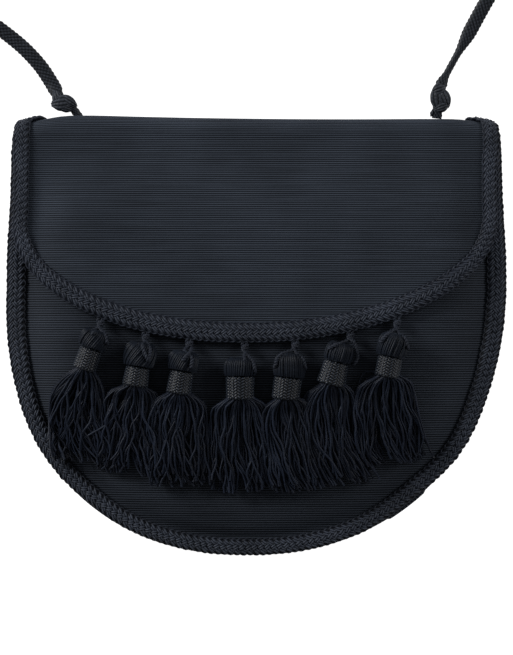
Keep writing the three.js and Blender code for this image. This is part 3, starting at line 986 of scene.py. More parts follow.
def plait_tree() -> NodeTree:
    """A flat plait of an odd number of strands, each over two and under two, along a line.

    The line's points hold 'up' and 'across', the band's directions, 'reach', how far a strand swings to
    either side, and 'along', the distance from the start. A strand is two yarns side by side.

    Returns:
        The tree.
    """
    tree, given = start_tree(
        "flat_plait",
        ("Pitch", "Strand Width", "Strand Thickness", "Rise", "Crown", "Unevenness", "Seed"),
        ("Strands", "Sides"),
    )
    node = partial(add, tree)
    strands, width = given["Strands"], given["Strand Width"]
    line = node("GeometryNodeMeshToCurve", [given["Geometry"]])
    copies = node("GeometryNodeDuplicateElements", {"Geometry": line, "Amount": strands}, domain="SPLINE")
    number = copies.outputs["Duplicate Index"]
    up, across, reach, along = (
        node("GeometryNodeInputNamedAttribute", {"Name": name}, data_type=kind)
        for name, kind in (
            ("up", "FLOAT_VECTOR"), ("across", "FLOAT_VECTOR"), ("reach", "FLOAT"), ("along", "FLOAT"),
        )
    )

    # Where the strand is in its swing from edge to edge and back: each starts a pitch after the last.
    period = node(MATH, [given["Pitch"], strands], "MULTIPLY")
    travelled = node(MATH, [along, period], "DIVIDE")
    behind = node(MATH, [number, strands], "DIVIDE")
    turns = node(MATH, [travelled, behind], "SUBTRACT")
    angle = node(MATH, [turns, math.tau], "MULTIPLY")

    # A triangle wave with rounded ends, from -1 at one edge to 1 at the other.
    roundness = 0.985
    swing = node(MATH, [angle], "SINE")
    drawn_in = node(MATH, [swing, roundness], "MULTIPLY")
    opened = node(MATH, [drawn_in], "ARCSINE")
    place = node(MATH, [opened, math.asin(roundness)], "DIVIDE")

    # Which crossing it is at, counted from one edge, and whether it goes over or under there.
    heading = node(MATH, [angle], "COSINE")
    quick = node(MATH, [heading, 3.0], "MULTIPLY")
    way = node("ShaderNodeClamp", {"Value": quick, "Min": -1.0, "Max": 1.0})
    half = node(MATH, [strands, 0.5], "MULTIPLY")
    crossing = node(MATH, [place, half, half], "MULTIPLY_ADD")
    from_middle = node(MATH, [crossing, 0.5], "SUBTRACT")
    beat = node(MATH, [from_middle, math.pi / 2], "MULTIPLY")
    weave = node(MATH, [beat], "SINE")
    lift = node(MATH, [weave, way], "MULTIPLY")

    # It is moved across and up. The band is rounded: its edges lie lower than its middle.
    sideways = node(MATH, [place, reach], "MULTIPLY")
    woven = node(MATH, [lift, given["Rise"]], "MULTIPLY")
    squared = node(MATH, [place, place], "MULTIPLY")
    drop = node(MATH, [squared, given["Crown"]], "MULTIPLY")
    upwards = node(MATH, [woven, drop], "SUBTRACT")
    shift = node(VECTOR, {0: across, "Scale": sideways}, "SCALE")
    rise = node(VECTOR, {0: up, "Scale": upwards}, "SCALE")
    both = node(VECTOR, [shift, rise], "ADD")

    # Hand and wear: every strand strays a little, over a few millimetres.
    own = node(MATH, [number, given["Seed"]], "ADD")
    here = node("GeometryNodeInputPosition")
    stray = node(
        "ShaderNodeTexNoise", {"Vector": here, "W": own, "Scale": 260.0, "Detail": 1.0},
        noise_dimensions="4D",
    )
    centred = node(VECTOR, [stray.outputs["Color"], (0.5, 0.5, 0.5)], "SUBTRACT")
    strayed = node(VECTOR, {0: centred, "Scale": given["Unevenness"]}, "SCALE")
    offset = node(VECTOR, [both, strayed], "ADD")
    # The finish reads 'lift': painted shade where a strand dives, painted light where it lies on top.
    noted = node("GeometryNodeStoreNamedAttribute", {"Geometry": copies, "Name": "lift", "Value": lift})
    turned = node("GeometryNodeSetCurveNormal", {"Curve": noted, "Normal": up}, mode="FREE")
    laid = node("GeometryNodeSetPosition", {"Geometry": turned, "Offset": offset})

    # A strand's two yarns, flattened and a little sunk into each other.
    circle = node("GeometryNodeCurvePrimitiveCircle", {"Resolution": given["Sides"], "Radius": 0.5})
    yarn_width = node(MATH, [width, 0.48], "MULTIPLY")
    oval = node("ShaderNodeCombineXYZ", [given["Strand Thickness"], yarn_width, 1.0])
    yarns = []
    for side in (-0.26, 0.26):
        aside = node(MATH, [width, side], "MULTIPLY")
        moved = node("ShaderNodeCombineXYZ", {"Y": aside})
        yarns.append(
            node("GeometryNodeTransform", {"Geometry": circle, "Translation": moved, "Scale": oval})
        )
    section = node("GeometryNodeJoinGeometry", [yarns])
    strand = node("GeometryNodeCurveToMesh", {
        "Curve": laid, "Profile Curve": section, "Scale": 1.0, "Fill Caps": True,
    })
    return end_tree(tree, strand, given["Finish"])


def wound_tree() -> NodeTree:
    """Threads wound from end to end round a swelling form on the Y axis, over the core that comes in.

    'Low' and 'High' are the form's ends as shares of its half length, where 1 is its pole.

    Returns:
        The tree.
    """
    tree, given = start_tree(
        "wound_threads",
        ("Radius", "Length", "Low", "High", "Power", "Twist", "Thread", "Unevenness", "Squash"),
        ("Threads", "Points", "Sides", "Seed"),
    )
    node = partial(add, tree)
    line = node("GeometryNodeCurvePrimitiveLine", {"Start": (0.0, 0.0, 0.0), "End": (0.0, 1.0, 0.0)})
    cut = node("GeometryNodeResampleCurve", {"Curve": line, "Count": given["Points"]})
    copies = node(
        "GeometryNodeDuplicateElements", {"Geometry": cut, "Amount": given["Threads"]}, domain="SPLINE"
    )
    number = copies.outputs["Duplicate Index"]
    share = node("GeometryNodeSplineParameter").outputs["Factor"]
    spot = node("ShaderNodeMapRange", {"Value": share, "To Min": given["Low"], "To Max": given["High"]})

    # The radius of a superellipse at that share of its length.
    far = node(MATH, [spot], "ABSOLUTE")
    raised = node(MATH, [far, given["Power"]], "POWER")
    left_over = node(MATH, [1.0, raised], "SUBTRACT")
    some = node(MATH, [left_over, 0.0], "MAXIMUM")
    root = node(MATH, [1.0, given["Power"]], "DIVIDE")
    swell = node(MATH, [some, root], "POWER")
    chance = node(
        "FunctionNodeRandomValue", {2: -1.0, 3: 1.0, "ID": number, "Seed": given["Seed"]}
    ).outputs[1]
    uneven = node(MATH, [chance, given["Unevenness"], 1.0], "MULTIPLY_ADD")
    reach = node(MATH, [swell, given["Radius"]], "MULTIPLY")
    radius = node(MATH, [reach, uneven], "MULTIPLY")

    # The threads stand evenly round it and twist on their way.
    own = node(MATH, [number, given["Threads"]], "DIVIDE")
    start = node(MATH, [own, math.tau], "MULTIPLY")
    angle = node(MATH, [share, given["Twist"], start], "MULTIPLY_ADD")
    cosine = node(MATH, [angle], "COSINE")
    sine = node(MATH, [angle], "SINE")
    pressed = node(MATH, [sine, given["Squash"]], "MULTIPLY")
    x = node(MATH, [radius, cosine], "MULTIPLY")
    z = node(MATH, [radius, pressed], "MULTIPLY")
    half_length = node(MATH, [given["Length"], 0.5], "MULTIPLY")
    y = node(MATH, [spot, half_length], "MULTIPLY")
    place = node("ShaderNodeCombineXYZ", [x, y, z])
    laid = node("GeometryNodeSetPosition", {"Geometry": copies, "Position": place})
    # The finish reads the swell as 'lift': painted shade towards the head's narrow ends, light over its
    # bulge.
    noted = node("GeometryNodeStoreNamedAttribute", {"Geometry": laid, "Name": "lift", "Value": swell})
    threads = swept(tree, noted, given["Sides"], given["Thread"])
    both = node("GeometryNodeJoinGeometry", [[given["Geometry"], threads]])
    return end_tree(tree, both, given["Finish"])


def thread_tree() -> NodeTree:
    """Threads swept along every line that comes in; the points hold 'thick', the thread's radius there.

    Returns:
        The tree.
    """
    tree, given = start_tree("swept_threads", (), ("Sides",))
    line = add(tree, "GeometryNodeMeshToCurve", [given["Geometry"]])
    thick = add(tree, "GeometryNodeInputNamedAttribute", {"Name": "thick"})
    mesh = swept(tree, line, given["Sides"], 1.0, thick)
    return end_tree(tree, mesh, given["Finish"])


def plied_tree() -> NodeTree:
    """A cord of plies twisted round every line that comes in.

    Returns:
        The tree.
    """
    tree, given = start_tree("plied_cord", ("Ply Radius", "Lay"), ("Plies", "Sides"))
    node = partial(add, tree)
    line = node("GeometryNodeMeshToCurve", [given["Geometry"]])
    copies = node(
        "GeometryNodeDuplicateElements", {"Geometry": line, "Amount": given["Plies"]}, domain="SPLINE"
    )
    along = node("GeometryNodeSplineParameter").outputs["Length"]
    turns = node(MATH, [along, given["Lay"]], "DIVIDE")
    own = node(MATH, [copies.outputs["Duplicate Index"], given["Plies"]], "DIVIDE")
    both = node(MATH, [turns, own], "ADD")
    angle = node(MATH, [both, math.tau], "MULTIPLY")
    normal = node("GeometryNodeInputNormal")
    tangent = node("GeometryNodeInputTangent")
    side = node(VECTOR, [tangent, normal], "CROSS_PRODUCT")
    cosine = node(MATH, [angle], "COSINE")
    sine = node(MATH, [angle], "SINE")
    one = node(VECTOR, {0: normal, "Scale": cosine}, "SCALE")
    other = node(VECTOR, {0: side, "Scale": sine}, "SCALE")
    way = node(VECTOR, [one, other], "ADD")
    offset = node(VECTOR, {0: way, "Scale": given["Ply Radius"]}, "SCALE")
    laid = node("GeometryNodeSetPosition", {"Geometry": copies, "Offset": offset})
    plies = swept(tree, laid, given["Sides"], given["Ply Radius"])
    return end_tree(tree, plies, given["Finish"])


# ---- plaited braid
@dataclass
class Braid:
    """A flat plait of seven strands along an edge of the bag, each two yarns: columns of slanted stitches."""

    name: str
    node: str
    outline: Outline
    side: float  # width along the sides
    foot: float  # width at the foot
    finish: Material
    tree: NodeTree
    pitch: float = 2.87
    strand_width: float = 1.85
    strand_thick: float = 1.0
    rise: float = 0.55
    crown: float = 0.8  # how much higher its middle lies than its edges
    unevenness: float = 0.8
    step: float = 0.55
    strands: int = 7
    sides: int = 6
    filler_inset: float = 0.75  # of the filler cord inside the braid's edge
    filler_under: float = 1.05  # how far the filler reaches down
    filler_drop: float = 0.55  # how far its middle lies under the braid's
    filler_sides: int = 10
    filler_every: int = 3  # of the braid's points, one in three

    def middle(self, top: float) -> tuple[Array, Array, Array]:
        """The middle line of a braid whose outer edge follows the outline.

        Args:
            top: Height of the line's two ends.

        Returns:
            The line's points, the direction towards the bag's middle at each, and the width there.
        """
        edge = self.outline.edge(top, 1.2)
        tangent = unit(np.gradient(edge, axis=0))
        inward = np.stack([-tangent[:, 1], tangent[:, 0]], axis=-1)
        share = ease((self.outline.shoulder - edge[:, 1]) / self.outline.depth)
        width = lerp(self.side, self.foot, share)
        return edge + inward * width[:, None] / 2, inward, width

    def build(self, line: Array, up: Array, width: Array) -> None:
        """Plaits the braid along a line.

        Args:
            line: Its middle line.
            up: The outward direction of its face at each point.
            width: Its width at each point.
        """
        line, up, width = evenly(line, self.step, up, width)
        tangent = unit(np.gradient(line, axis=0))
        across = unit(np.cross(tangent, up))
        up = unit(np.cross(across, tangent))
        seed = lines_mesh(
            f"{self.name}_line", [line], up=up, across=across,
            reach=(width - self.strand_width) / 2 * MM, along=distance_along(line) * MM,
        )
        mesh = grow(self.name, seed, self.tree, {
            "Strands": self.strands, "Pitch": self.pitch * MM, "Strand Width": self.strand_width * MM,
            "Strand Thickness": self.strand_thick * MM, "Rise": self.rise * MM, "Sides": self.sides,
            "Crown": self.crown * MM, "Unevenness": self.unevenness * MM, "Seed": 0.0,
            "Finish": self.finish,
        })
        every = slice(None, None, self.filler_every)
        filler = self.filler(line[every], up[every], across[every], width[every])
        show(self.name, joined(mesh, filler), self.finish, Slot.BRAID, [self.node])

    def filler(self, line: Array, up: Array, across: Array, width: Array) -> Mesh:
        """The flat filler cord inside the plait, which closes the gaps between its strands.

        Args:
            line: The braid's middle line.
            up: The outward direction of its face at each point.
            across: The direction across it at each point.
            width: Its width at each point.

        Returns:
            The filler's closed mesh.
        """
        turns = -np.linspace(0, math.tau, self.filler_sides, endpoint=False)
        aside = np.cos(turns) * (width[:, None] / 2 - self.filler_inset)
        above, under = np.maximum(np.sin(turns), 0.0), np.minimum(np.sin(turns), 0.0)
        height = self.crown * above**2 + self.filler_under * under - self.filler_drop
        rings = line[:, None] + across[:, None] * aside[..., None] + up[:, None] * height[None, :, None]
        # Painted shade: the filler takes the plait's hollow colour all over.
        return ring_mesh(f"{self.name}_filler", rings, -1.0)


@dataclass
class BodyBraid(Braid):
    """The braid over the seam of the two panels."""

    top: float = 90.2
    height: float = 9.0
    tilt: float = 12.0

    def lay(self) -> None:
        """Lays the braid round the pouch, its inner edge a little higher than its outer one."""
        flat, inward, width = self.middle(self.top)
        line = np.column_stack([flat, np.full(len(flat), self.height)])
        tilt = math.radians(self.tilt)
        up = np.column_stack([-inward * math.sin(tilt), np.full(len(flat), math.cos(tilt))])
        self.build(line, up, width)


@dataclass
class FlapBraid(Braid):
    """The braid along the flap's edge, which turns over the fold at both corners."""

    top: float = 87.0
    lift: float = 1.55  # of its middle above the cloth
    lift_behind: float = 0.15  # more, at the back of the fold
    curl_start: float = 7.5  # where the stretch over the fold starts, in degrees round it
    curl: float = 138.0  # and how far round it ends
    curl_step: float = 4.0
    tuck: float = 2.0  # how far it lies inside the flap's outline along the sides
    shift: float = -0.5  # and how far both sides are off the middle
    less_tuck: float = 0.45  # how much less of both there is over the corner
    less_shift: float = 0.8
    bow: float = 0.8  # how far it is drawn in on its way up the fold
    turn_in: float = 7.2  # how far its ends are drawn towards the middle behind the fold
    fuller: float = 0.8  # how much wider it lies over the corner
    side_rise: Pair = (34.0, 28.0)  # where the tuck starts up the side, and over how much
    corner_rise: Pair = (74.0, 12.0)  # where the corner starts, and over how much

    def corner(self, sign: int) -> tuple[Array, Array]:
        """The stretch of the braid over the fold at one corner.

        Args:
            sign: -1 for the left corner and 1 for the right one.

        Returns:
            Its points from the front round to its end, and the outward direction at each.
        """
        points, ups = [], []
        tuck, shift = self.tucked(np.array([self.top]))
        middle = float(FORM.flap.half_at(self.top)) - (self.side + self.fuller) / 2 - tuck[0]
        for turn in np.arange(self.curl_start, self.curl, self.curl_step):
            drawn = self.bow * float(ease(turn / 90)) + self.turn_in * float(ease((turn - 76) / 54))
            x = sign * (middle - drawn) + shift[0]
            along = FORM.fold(x, turn - 1) - FORM.fold(x, turn + 1)
            across = FORM.fold(x + 1, turn) - FORM.fold(x - 1, turn)
            up = unit(np.cross(along, across))
            points.append(FORM.fold(x, turn) + up * self.lift_behind * float(ease((turn - 92) / 26)))
            ups.append(up)
        return np.array(points), np.array(ups)

    def tucked(self, y: Array) -> tuple[Array, Array]:
        """How far in and how far aside the sides lie: nothing at the foot, and less over the corner.

        Args:
            y: Places up the bag.

        Returns:
            The distance in and the distance aside at each.
        """
        (side, side_over), (top, top_over) = self.side_rise, self.corner_rise
        at_side, at_top = ease((y - side) / side_over), ease((y - top) / top_over)
        tuck = self.tuck * at_side * (1 - self.less_tuck * at_top)
        return tuck, self.shift * at_side * (1 - self.less_shift * at_top)

    def lay(self) -> None:
        """Lays the braid along the flap's edge and over the fold."""
        flat, _, width = self.middle(self.top)
        tuck, shift = self.tucked(flat[:, 1])
        top, over = self.corner_rise
        wider = self.fuller * ease((flat[:, 1] - top) / over)
        flat[:, 0] += shift - np.sign(flat[:, 0]) * (tuck + wider / 2)
        front = np.column_stack([flat, FORM.flap_top(flat[:, 0], flat[:, 1])])
        front_up = FORM.flap_normal(flat[:, 0], flat[:, 1])
        left, left_up = self.corner(-1)
        right, right_up = self.corner(1)
        line = np.vstack([left[::-1], front, right])
        up = np.vstack([left_up[::-1], front_up, right_up])
        ends = np.full(len(left), self.side + self.fuller)
        self.build(line + up * self.lift, up, np.concatenate([ends, width + wider, ends]))


# ---- tassels
@dataclass(frozen=True)
class TasselPlan:
    """One tassel: the sizes of its parts in millimetres, its lean in degrees, and how its threads fall."""

    number: int
    loop_x: float  # where its loop meets the flap
    lean: float
    head_radius: float
    head_length: float
    head_twist: float  # in radians from top to bottom
    collar_radius: float
    collar_length: float
    flare: float  # how much the collar opens towards the fringe
    end_x: float  # middle of the fringe's ends
    end_y: float
    spread: float
    splay: float  # half the fringe's width just below the collar
    open: float  # how far down the fringe has opened to that, as a share of its length
    loose: float  # how far its threads wander
    legs: tuple[tuple[Pair, ...], ...]  # the loop's two legs, from the middle of the head


TASSEL_PLANS = (
    TasselPlan(
        1, -69.8, -19, 6.7, 8.8, 0.45, 5.3, 10.0, 0.04, -77.0, -56.0, 28.0, 11.4, 0.15, 1.9,
        (((0.4, 4.4), (-0.4, 2.6)), ((3.2, 3.9), (5.2, 1.4), (5.6, -1.2))),
    ),
    TasselPlan(
        2, -49.6, -9, 7.2, 11.2, 0.90, 5.7, 8.8, 0.08, -57.0, -61.0, 28.0, 11.8, 0.05, 1.9,
        (((1.2, 4.1), (2.2, 0.7), (3.7, -2.2)), ((3.4, 4.9), (4.8, 1.5), (3.9, -2.0))),
    ),
    TasselPlan(
        3, -30.1, -9, 6.8, 9.2, 0.50, 5.5, 10.3, 0.05, -33.4, -66.5, 28.5, 12.6, 0.05, 1.6,
        (((3.4, 4.6), (1.9, 2.6), (0.2, 0.8)), ((0.7, 4.3), (3.9, 1.2), (3.6, -2.2))),
    ),
    TasselPlan(
        4, -5.2, 0, 7.3, 8.6, 0.10, 6.4, 10.3, -0.04, -4.8, -69.0, 31.0, 13.6, 0.045, 1.25,
        (((2.0, 5.0), (2.0, 3.0)), ((3.5, 4.8), (5.7, 2.5), (6.4, -1.2))),
    ),
    TasselPlan(
        5, 17.4, -7, 7.1, 11.2, -0.20, 6.4, 9.9, -0.02, 21.4, -68.5, 28.5, 12.4, 0.05, 1.15,
        (((-3.0, 5.2), (-5.4, 3.0), (-6.4, 0.0)), ((3.2, 5.2), (5.8, 3.0), (6.8, -0.6))),
    ),
    TasselPlan(
        6, 42.0, -15, 6.4, 9.0, 0.05, 6.2, 10.6, 0.14, 39.6, -65.5, 30.0, 12.0, 0.05, 1.15,
        (((2.4, 4.6), (-1.2, 3.4), (-4.0, 2.2)), ((6.4, 4.8), (7.8, 0.6), (8.0, -3.0), (6.6, -5.0))),
    ),
    TasselPlan(
        7, 62.9, -11, 6.9, 10.8, 0.30, 5.7, 9.2, 0.03, 64.0, -56.5, 31.0, 13.4, 0.05, 1.25,
        (((-2.6, 4.8), (-5.0, 2.2)), ((2.6, 5.0), (5.4, 2.8), (6.4, -0.6))),
    ),
)

STRAYS = (  # threads that swung out: the tassel's number, height over what they lie on, and the way they take
    (2, 5.6, ((-57.5, -25.0), (-59.6, -31.7), (-67.2, -40.3), (-74.8, -44.8), (-79.3, -47.5))),
    (1, 4.6, ((-80.0, -16.5), (-82.5, -27.2), (-87.0, -29.6), (-93.0, -30.4))),
    (1, 2.4, ((-81.0, -18.0), (-84.0, -34.9), (-90.0, -43.0), (-94.2, -47.9))),
    (7, 4.4, ((54.5, -17.5), (49.5, -16.6), (46.5, -19.5), (45.6, -25.0))),
    (7, 4.0, ((55.0, -18.5), (50.0, -19.5), (46.8, -24.0), (45.0, -31.0))),
)

# A leg by the flap's edge: its place aside, up the bag and above the cloth, and how much higher the right one
# lies, and how much lower the left one.
LEG_STARTS = ((0.5, 1.8, -0.4, 0.0), (0.9, -1.0, 0.6, 0.0), (-0.6, -2.8, 0.9, 0.4))

# Swings along a fringe: how many radians each goes through, and how far it reaches in millimetres.
LOCK_SWINGS = ((3.4, 1.9), (8.0, 0.8))
LOCK_RISES = ((5.0, 0.35),)
THREAD_SWINGS = ((4.5, 0.9), (11.0, 0.55), (21.0, 0.34))
LEVEL_SWINGS = ((5.0, 0.3), (11.0, 0.18))  # of a thread's level, from -1 under the fringe to 1 on top


@dataclass(frozen=True)
class Lock:
    """Threads that cling together: how far they swing aside and up along the fringe, and where to."""

    aside: Array
    rise: Array
    pull: float


@dataclass
class Tassel:
    """A tassel: a looped cord, a head of threads over a bead, a collar of plaited gimp and a fringe."""

    plan: TasselPlan
    finishes: Finishes
    wound: NodeTree
    threads: NodeTree
    plied: NodeTree
    gap: float = 0.3  # under the head and the collar
    head_thick: float = 12.0
    head_power: float = 3.0  # the head is cut from a superellipse at these shares of its half length
    head_above: float = 0.92
    head_below: float = 0.62
    head_threads: int = 40
    head_thread: float = 0.52  # radius of a thread on the head
    head_points: int = 14
    head_unevenness: float = 0.07
    core_rings: int = 9
    core_around: int = 20
    core_least: float = 0.3  # the core's radius at its ends
    flank_power: float = 2.5  # of the head's section, where a cord lies on it
    flank_rise: float = 0.45
    collar_thick: float = 11.0
    collar_stitch: float = 1.3  # mm between the collar's stitches
    collar_lanes: int = 24  # columns of stitches round the collar
    collar_depth: float = 0.6
    collar_drift: float = 0.25  # of a stitch, by which the plait is uneven
    collar_samples: int = 5  # points along and across a stitch
    collar_end: Pair = (0.7, 0.9)  # how far its ends are turned in, and over how much
    ply: float = 0.5  # radius of the loop's plies
    lay: float = 2.6  # in which they go round once
    dive: float = 2.2  # how deep a leg's end goes into the head
    ball: float = 1.0  # radius of the turns that tie the loop at the flap's edge
    ball_turns: float = 1.8
    ball_rise: float = 1.1  # how far down a turn goes
    fringe_threads: int = 200
    thread: float = 0.47  # radius of a fringe thread
    fringe_points: int = 19
    fringe_thick: float = 5.6
    fringe_clear: float = 0.4  # between the fringe and what it lies on
    locks: int = 17
    rooted: float = 0.8  # how deep in the collar the threads start, as a share of its length
    neck: float = 7.4  # the bundle's thickness under the collar
    neck_inset: Pair = (1.6, 1.9)  # of the bundle in the collar, sideways and up
    hem_inset: float = 0.6  # of the outermost threads from the fringe's width at its end
    ragged: Pair = (-0.11, 0.05)  # the shares by which threads are cut shorter or longer
    rounded: float = 0.07  # the share by which the outermost are shorter still
    gather: float = 0.14  # how far the threads of a lock come together
    gather_from: float = 0.35  # and from where
    soft_edge: float = 1.1  # how far a swing may take threads past the fringe's edge
    settled: float = 0.16  # the share of its length after which the fringe lies on the bag
    kept_left: float = -95.4  # no thread hangs further out than this
    kept_near: float = 4.0  # closer to the pouch's edge than this, a thread is drawn in
    kept_least: float = 1.2

    def __post_init__(self) -> None:
        """Finds the places along the tassel from the frame's head."""
        plan = self.plan
        low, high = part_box(self.node("head"))
        self.head = np.array((low + high) / 2)[:2] / MM
        lean = math.radians(plan.lean)
        self.axis = np.array([math.sin(lean), -math.cos(lean)])
        half = plan.head_length / 2
        self.collar = self.head + self.axis * (half + plan.collar_length / 2)
        self.fringe_start = self.head + self.axis * (half + plan.collar_length)
        self.collar_height = float(FORM.ground(*self.collar[:, None])[0]) + self.gap + self.collar_thick / 2
        self.head_height = float(FORM.ground(*self.head[:, None])[0]) + self.gap + self.head_thick / 2
        # The superellipse's length, and where its middle lies.
        self.head_form = 2 * (plan.head_length - 2 * self.head_thread) / (self.head_above + self.head_below)
        self.head_centre = self.head + self.axis * self.head_form / 4 * (self.head_above - self.head_below)
        self.chance = np.random.default_rng(SEED * 100 + plan.number)

    def node(self, piece: str) -> str:
        """The frame's name of one of this tassel's pieces."""
        return f"tassel_{self.plan.number}_{piece}"

    def finish(self, kind: str, node: str, mesh: Mesh, finish: Material) -> None:
        """Shows one of the tassel's pieces under its own name for the frame's node."""
        show(self.node(kind), mesh, finish, Slot.TASSEL, [self.node(node)])

    def place(self, mesh: Mesh, centre: Array, height: float) -> None:
        """Leans a form with the tassel and moves it to its place.

        Args:
            mesh: The form, upright at the origin.
            centre: Its place, seen from above.
            height: Its height.
        """
        turn = Matrix.Rotation(math.radians(self.plan.lean), 4, "Z")
        mesh.transform(Matrix.Translation(Vector(np.append(centre, height) * MM)) @ turn)

    def core(self, radius: float, length: float, squash: float) -> Mesh:
        """The bead under the head's threads, on the Y axis, with its top at +Y.

        Args:
            radius: Its half width.
            length: The length of the superellipse that it is cut from.
            squash: Its thickness as a share of its width.

        Returns:
            The bead's closed mesh.
        """
        spots = np.linspace(-self.head_below, self.head_above, self.core_rings)[:, None]
        swell = np.maximum(1 - np.abs(spots) ** self.head_power, 0.0) ** (1 / self.head_power)
        turns = np.linspace(0, math.tau, self.core_around, endpoint=False)
        reach = np.maximum(swell * radius, self.core_least)
        level = np.broadcast_to(spots * length / 2, (self.core_rings, self.core_around))
        rings = np.stack([reach * np.cos(turns), level, -reach * np.sin(turns) * squash], -1)
        # Painted shade: the bead takes the hollow colour all over, between the head's threads.
        return ring_mesh("core", rings, -1.0)

    def build_head(self) -> None:
        """Builds the head: threads from the loop down over a bead, tied in at the collar."""
        plan, form = self.plan, self.head_form
        squash = self.head_thick / (2 * plan.head_radius)
        core = self.core(plan.head_radius - 2 * self.head_thread, form - 2 * self.head_thread, squash)
        mesh = grow(self.node("head_threads"), core, self.wound, {
            "Threads": self.head_threads, "Points": self.head_points, "Length": form * MM,
            "Radius": (plan.head_radius - self.head_thread) * MM, "Low": self.head_above,
            "High": -self.head_below, "Power": self.head_power, "Twist": plan.head_twist,
            "Thread": self.head_thread * MM, "Unevenness": self.head_unevenness, "Squash": squash,
            "Sides": 6, "Seed": plan.number, "Finish": self.finishes.wound,
        })
        self.place(mesh, self.head_centre, self.head_height)
        self.finish("head_threads", "head", mesh, self.finishes.wound)

    def on_head(self, place: Array) -> Array:
        """The point above a place where a cord lies on the head, or beside it.

        Args:
            place: The place, seen from above.

        Returns:
            The point.
        """
        from_centre = place - self.head_centre
        down = float(from_centre @ self.axis) / (self.head_form / 2)
        aside = float(from_centre @ np.array([-self.axis[1], self.axis[0]])) / self.plan.head_radius
        left_over = max(0.0, 1 - abs(down) ** self.head_power - abs(aside) ** self.flank_power)
        height = self.head_height + self.head_thick / 2 * left_over**self.flank_rise
        return np.append(place, height + self.ply)

    @staticmethod
    def plaited(along: Array, lane: Array) -> Array:
        """How high the face of a round plait lies, where each strand runs over two and under two.

        Args:
            along: The distance down the plait, in stitches.
            lane: The place round it, in columns of stitches, which slant to either side by turns.

        Returns:
            The height at each point, from 0 between the strands to 1 on top of them.
        """
        one, other = along + lane, along - lane
        first = (np.floor(one) - np.floor(other)) % 4 < 2
        ridge = np.where(first, one, other) % 1 - 0.5
        run = np.where(first, (np.floor(one) - other + 1) % 4, (one - np.floor(other)) % 4 - 2) / 2
        return np.cos(math.pi * ridge) ** 1.2 * (0.3 + 0.7 * np.sin(math.pi * run))

    def build_collar(self) -> None:
        """Builds the collar: a round plait of gimp drawn tight over the neck, its ends turned in."""
        plan, samples = self.plan, self.collar_samples
        around = self.collar_lanes * samples
        turns = np.arange(around) / around * math.tau
        count = round(plan.collar_length / self.collar_stitch * samples) + 1
        down = np.linspace(0, plan.collar_length, count)[:, None]
        drift = self.collar_drift * np.sin(2 * turns + plan.number)
        height = self.plaited(down / self.collar_stitch + drift, np.arange(around) / samples)
        depth, over = self.collar_end
        turned_in = depth * (1 - np.clip(np.minimum(down, plan.collar_length - down) / over, 0, 1)) ** 2
        wider = plan.flare * (down - plan.collar_length / 2) - turned_in - self.collar_depth * (1 - height)
        rings = np.stack([
            (plan.collar_radius + wider) * np.cos(turns),
            np.broadcast_to(plan.collar_length / 2 - down, height.shape),
            (self.collar_thick / 2 + wider) * np.sin(turns),
        ], -1)
        # The finish reads 'lift': painted shade between the stitches, painted light on their tops.
        mesh = ring_mesh("collar", rings, 2 * height - 1)
        self.place(mesh, self.collar, self.collar_height)
        self.finish("collar_gimp", "collar", mesh, self.finishes.gimp)

    def build_loop(self) -> None:
        """Builds the loop: its two legs come from under the flap's edge, cross, and lie over the head."""
        x = self.plan.loop_x
        y = FORM.flap.foot_y(x)
        z = float(FORM.flap_top(np.array([x]), np.array([y]))[0])
        lines = []
        for leg, side in zip(self.plan.legs, (-1.0, 1.0)):
            start = [
                (x + side * aside, y + up, z + above + side * more) for aside, up, above, more in LEG_STARTS
            ]
            on_head = [self.on_head(self.head + np.array(place)) for place in leg]
            inside = on_head[-1] + (on_head[-1] - on_head[-2]) * 0.25 - np.array([0.0, 0.0, self.dive])
            lines.append(smooth_curve(np.array([*start, *on_head, inside]), 7))
        turn = np.linspace(0, self.ball_turns * math.tau, 24)
        lines.append(np.column_stack([
            x + self.ball * np.cos(turn), y - 1.2 - turn / math.pi * self.ball_rise / 2,
            z + 0.9 + self.ball * np.sin(turn),
        ]))
        mesh = grow(self.node("loop_cord"), lines_mesh("loop_lines", lines), self.plied, {
            "Plies": 2, "Ply Radius": self.ply * MM, "Lay": self.lay * MM, "Sides": 8,
            "Finish": self.finishes.edging,
        })
        self.finish("loop_cord", "loop", mesh, self.finishes.edging)

    def sway(self, share: Array, swings: Sequence[Pair], looseness: float = 1.0) -> Array:
        """A random sideways swing along a thread, none at its start.

        Args:
            share: How far along the thread each point is.
            swings: How many radians each swing goes through, and how far it reaches.
            looseness: What the reach is multiplied by.

        Returns:
            The sideways distance at each point.
        """
        total = np.zeros_like(share)
        for rate, size in swings:
            phase = self.chance.uniform(0, math.tau)
            speed = rate * self.chance.uniform(0.8, 1.25)
            total += size * looseness * (np.sin(np.maximum(share, 0) * speed + phase) - math.sin(phase))
        return total * np.maximum(share, 0) ** 0.5

    def fringe_lines(self) -> list[Array]:
        """The middle line of each thread, from inside the collar to its ragged end.

        Returns:
            Each thread's points.
        """
        plan = self.plan
        end = np.array([plan.end_x, plan.end_y])
        reach = float(np.linalg.norm(end - self.fringe_start))
        chord = unit(end - self.fringe_start)
        sideways = unit(np.array([-chord[1], chord[0]]) + np.array([-self.axis[1], self.axis[0]]) * 0.3)
        inside = plan.collar_length * self.rooted / reach
        common = np.linspace(-inside, 1.1, 60)
        locks = [
            Lock(
                self.sway(common, LOCK_SWINGS, plan.loose), self.sway(common, LOCK_RISES),
                self.chance.uniform(-1.0, 1.0),
            )
            for _ in range(self.locks)
        ]
        lines = []
        for i in range(self.fringe_threads):
            aside, above = self.in_bundle(i)
            number = int((aside * 0.5 + 0.5) * (self.locks - 1) + self.chance.uniform(0, 1))
            lock = locks[min(number, self.locks - 1)]
            length = 1.0 + self.chance.uniform(*self.ragged) - self.rounded * abs(aside) ** 3
            share = np.linspace(-inside, length, self.fringe_points)
            opened = np.clip(share, 0, 1.05)

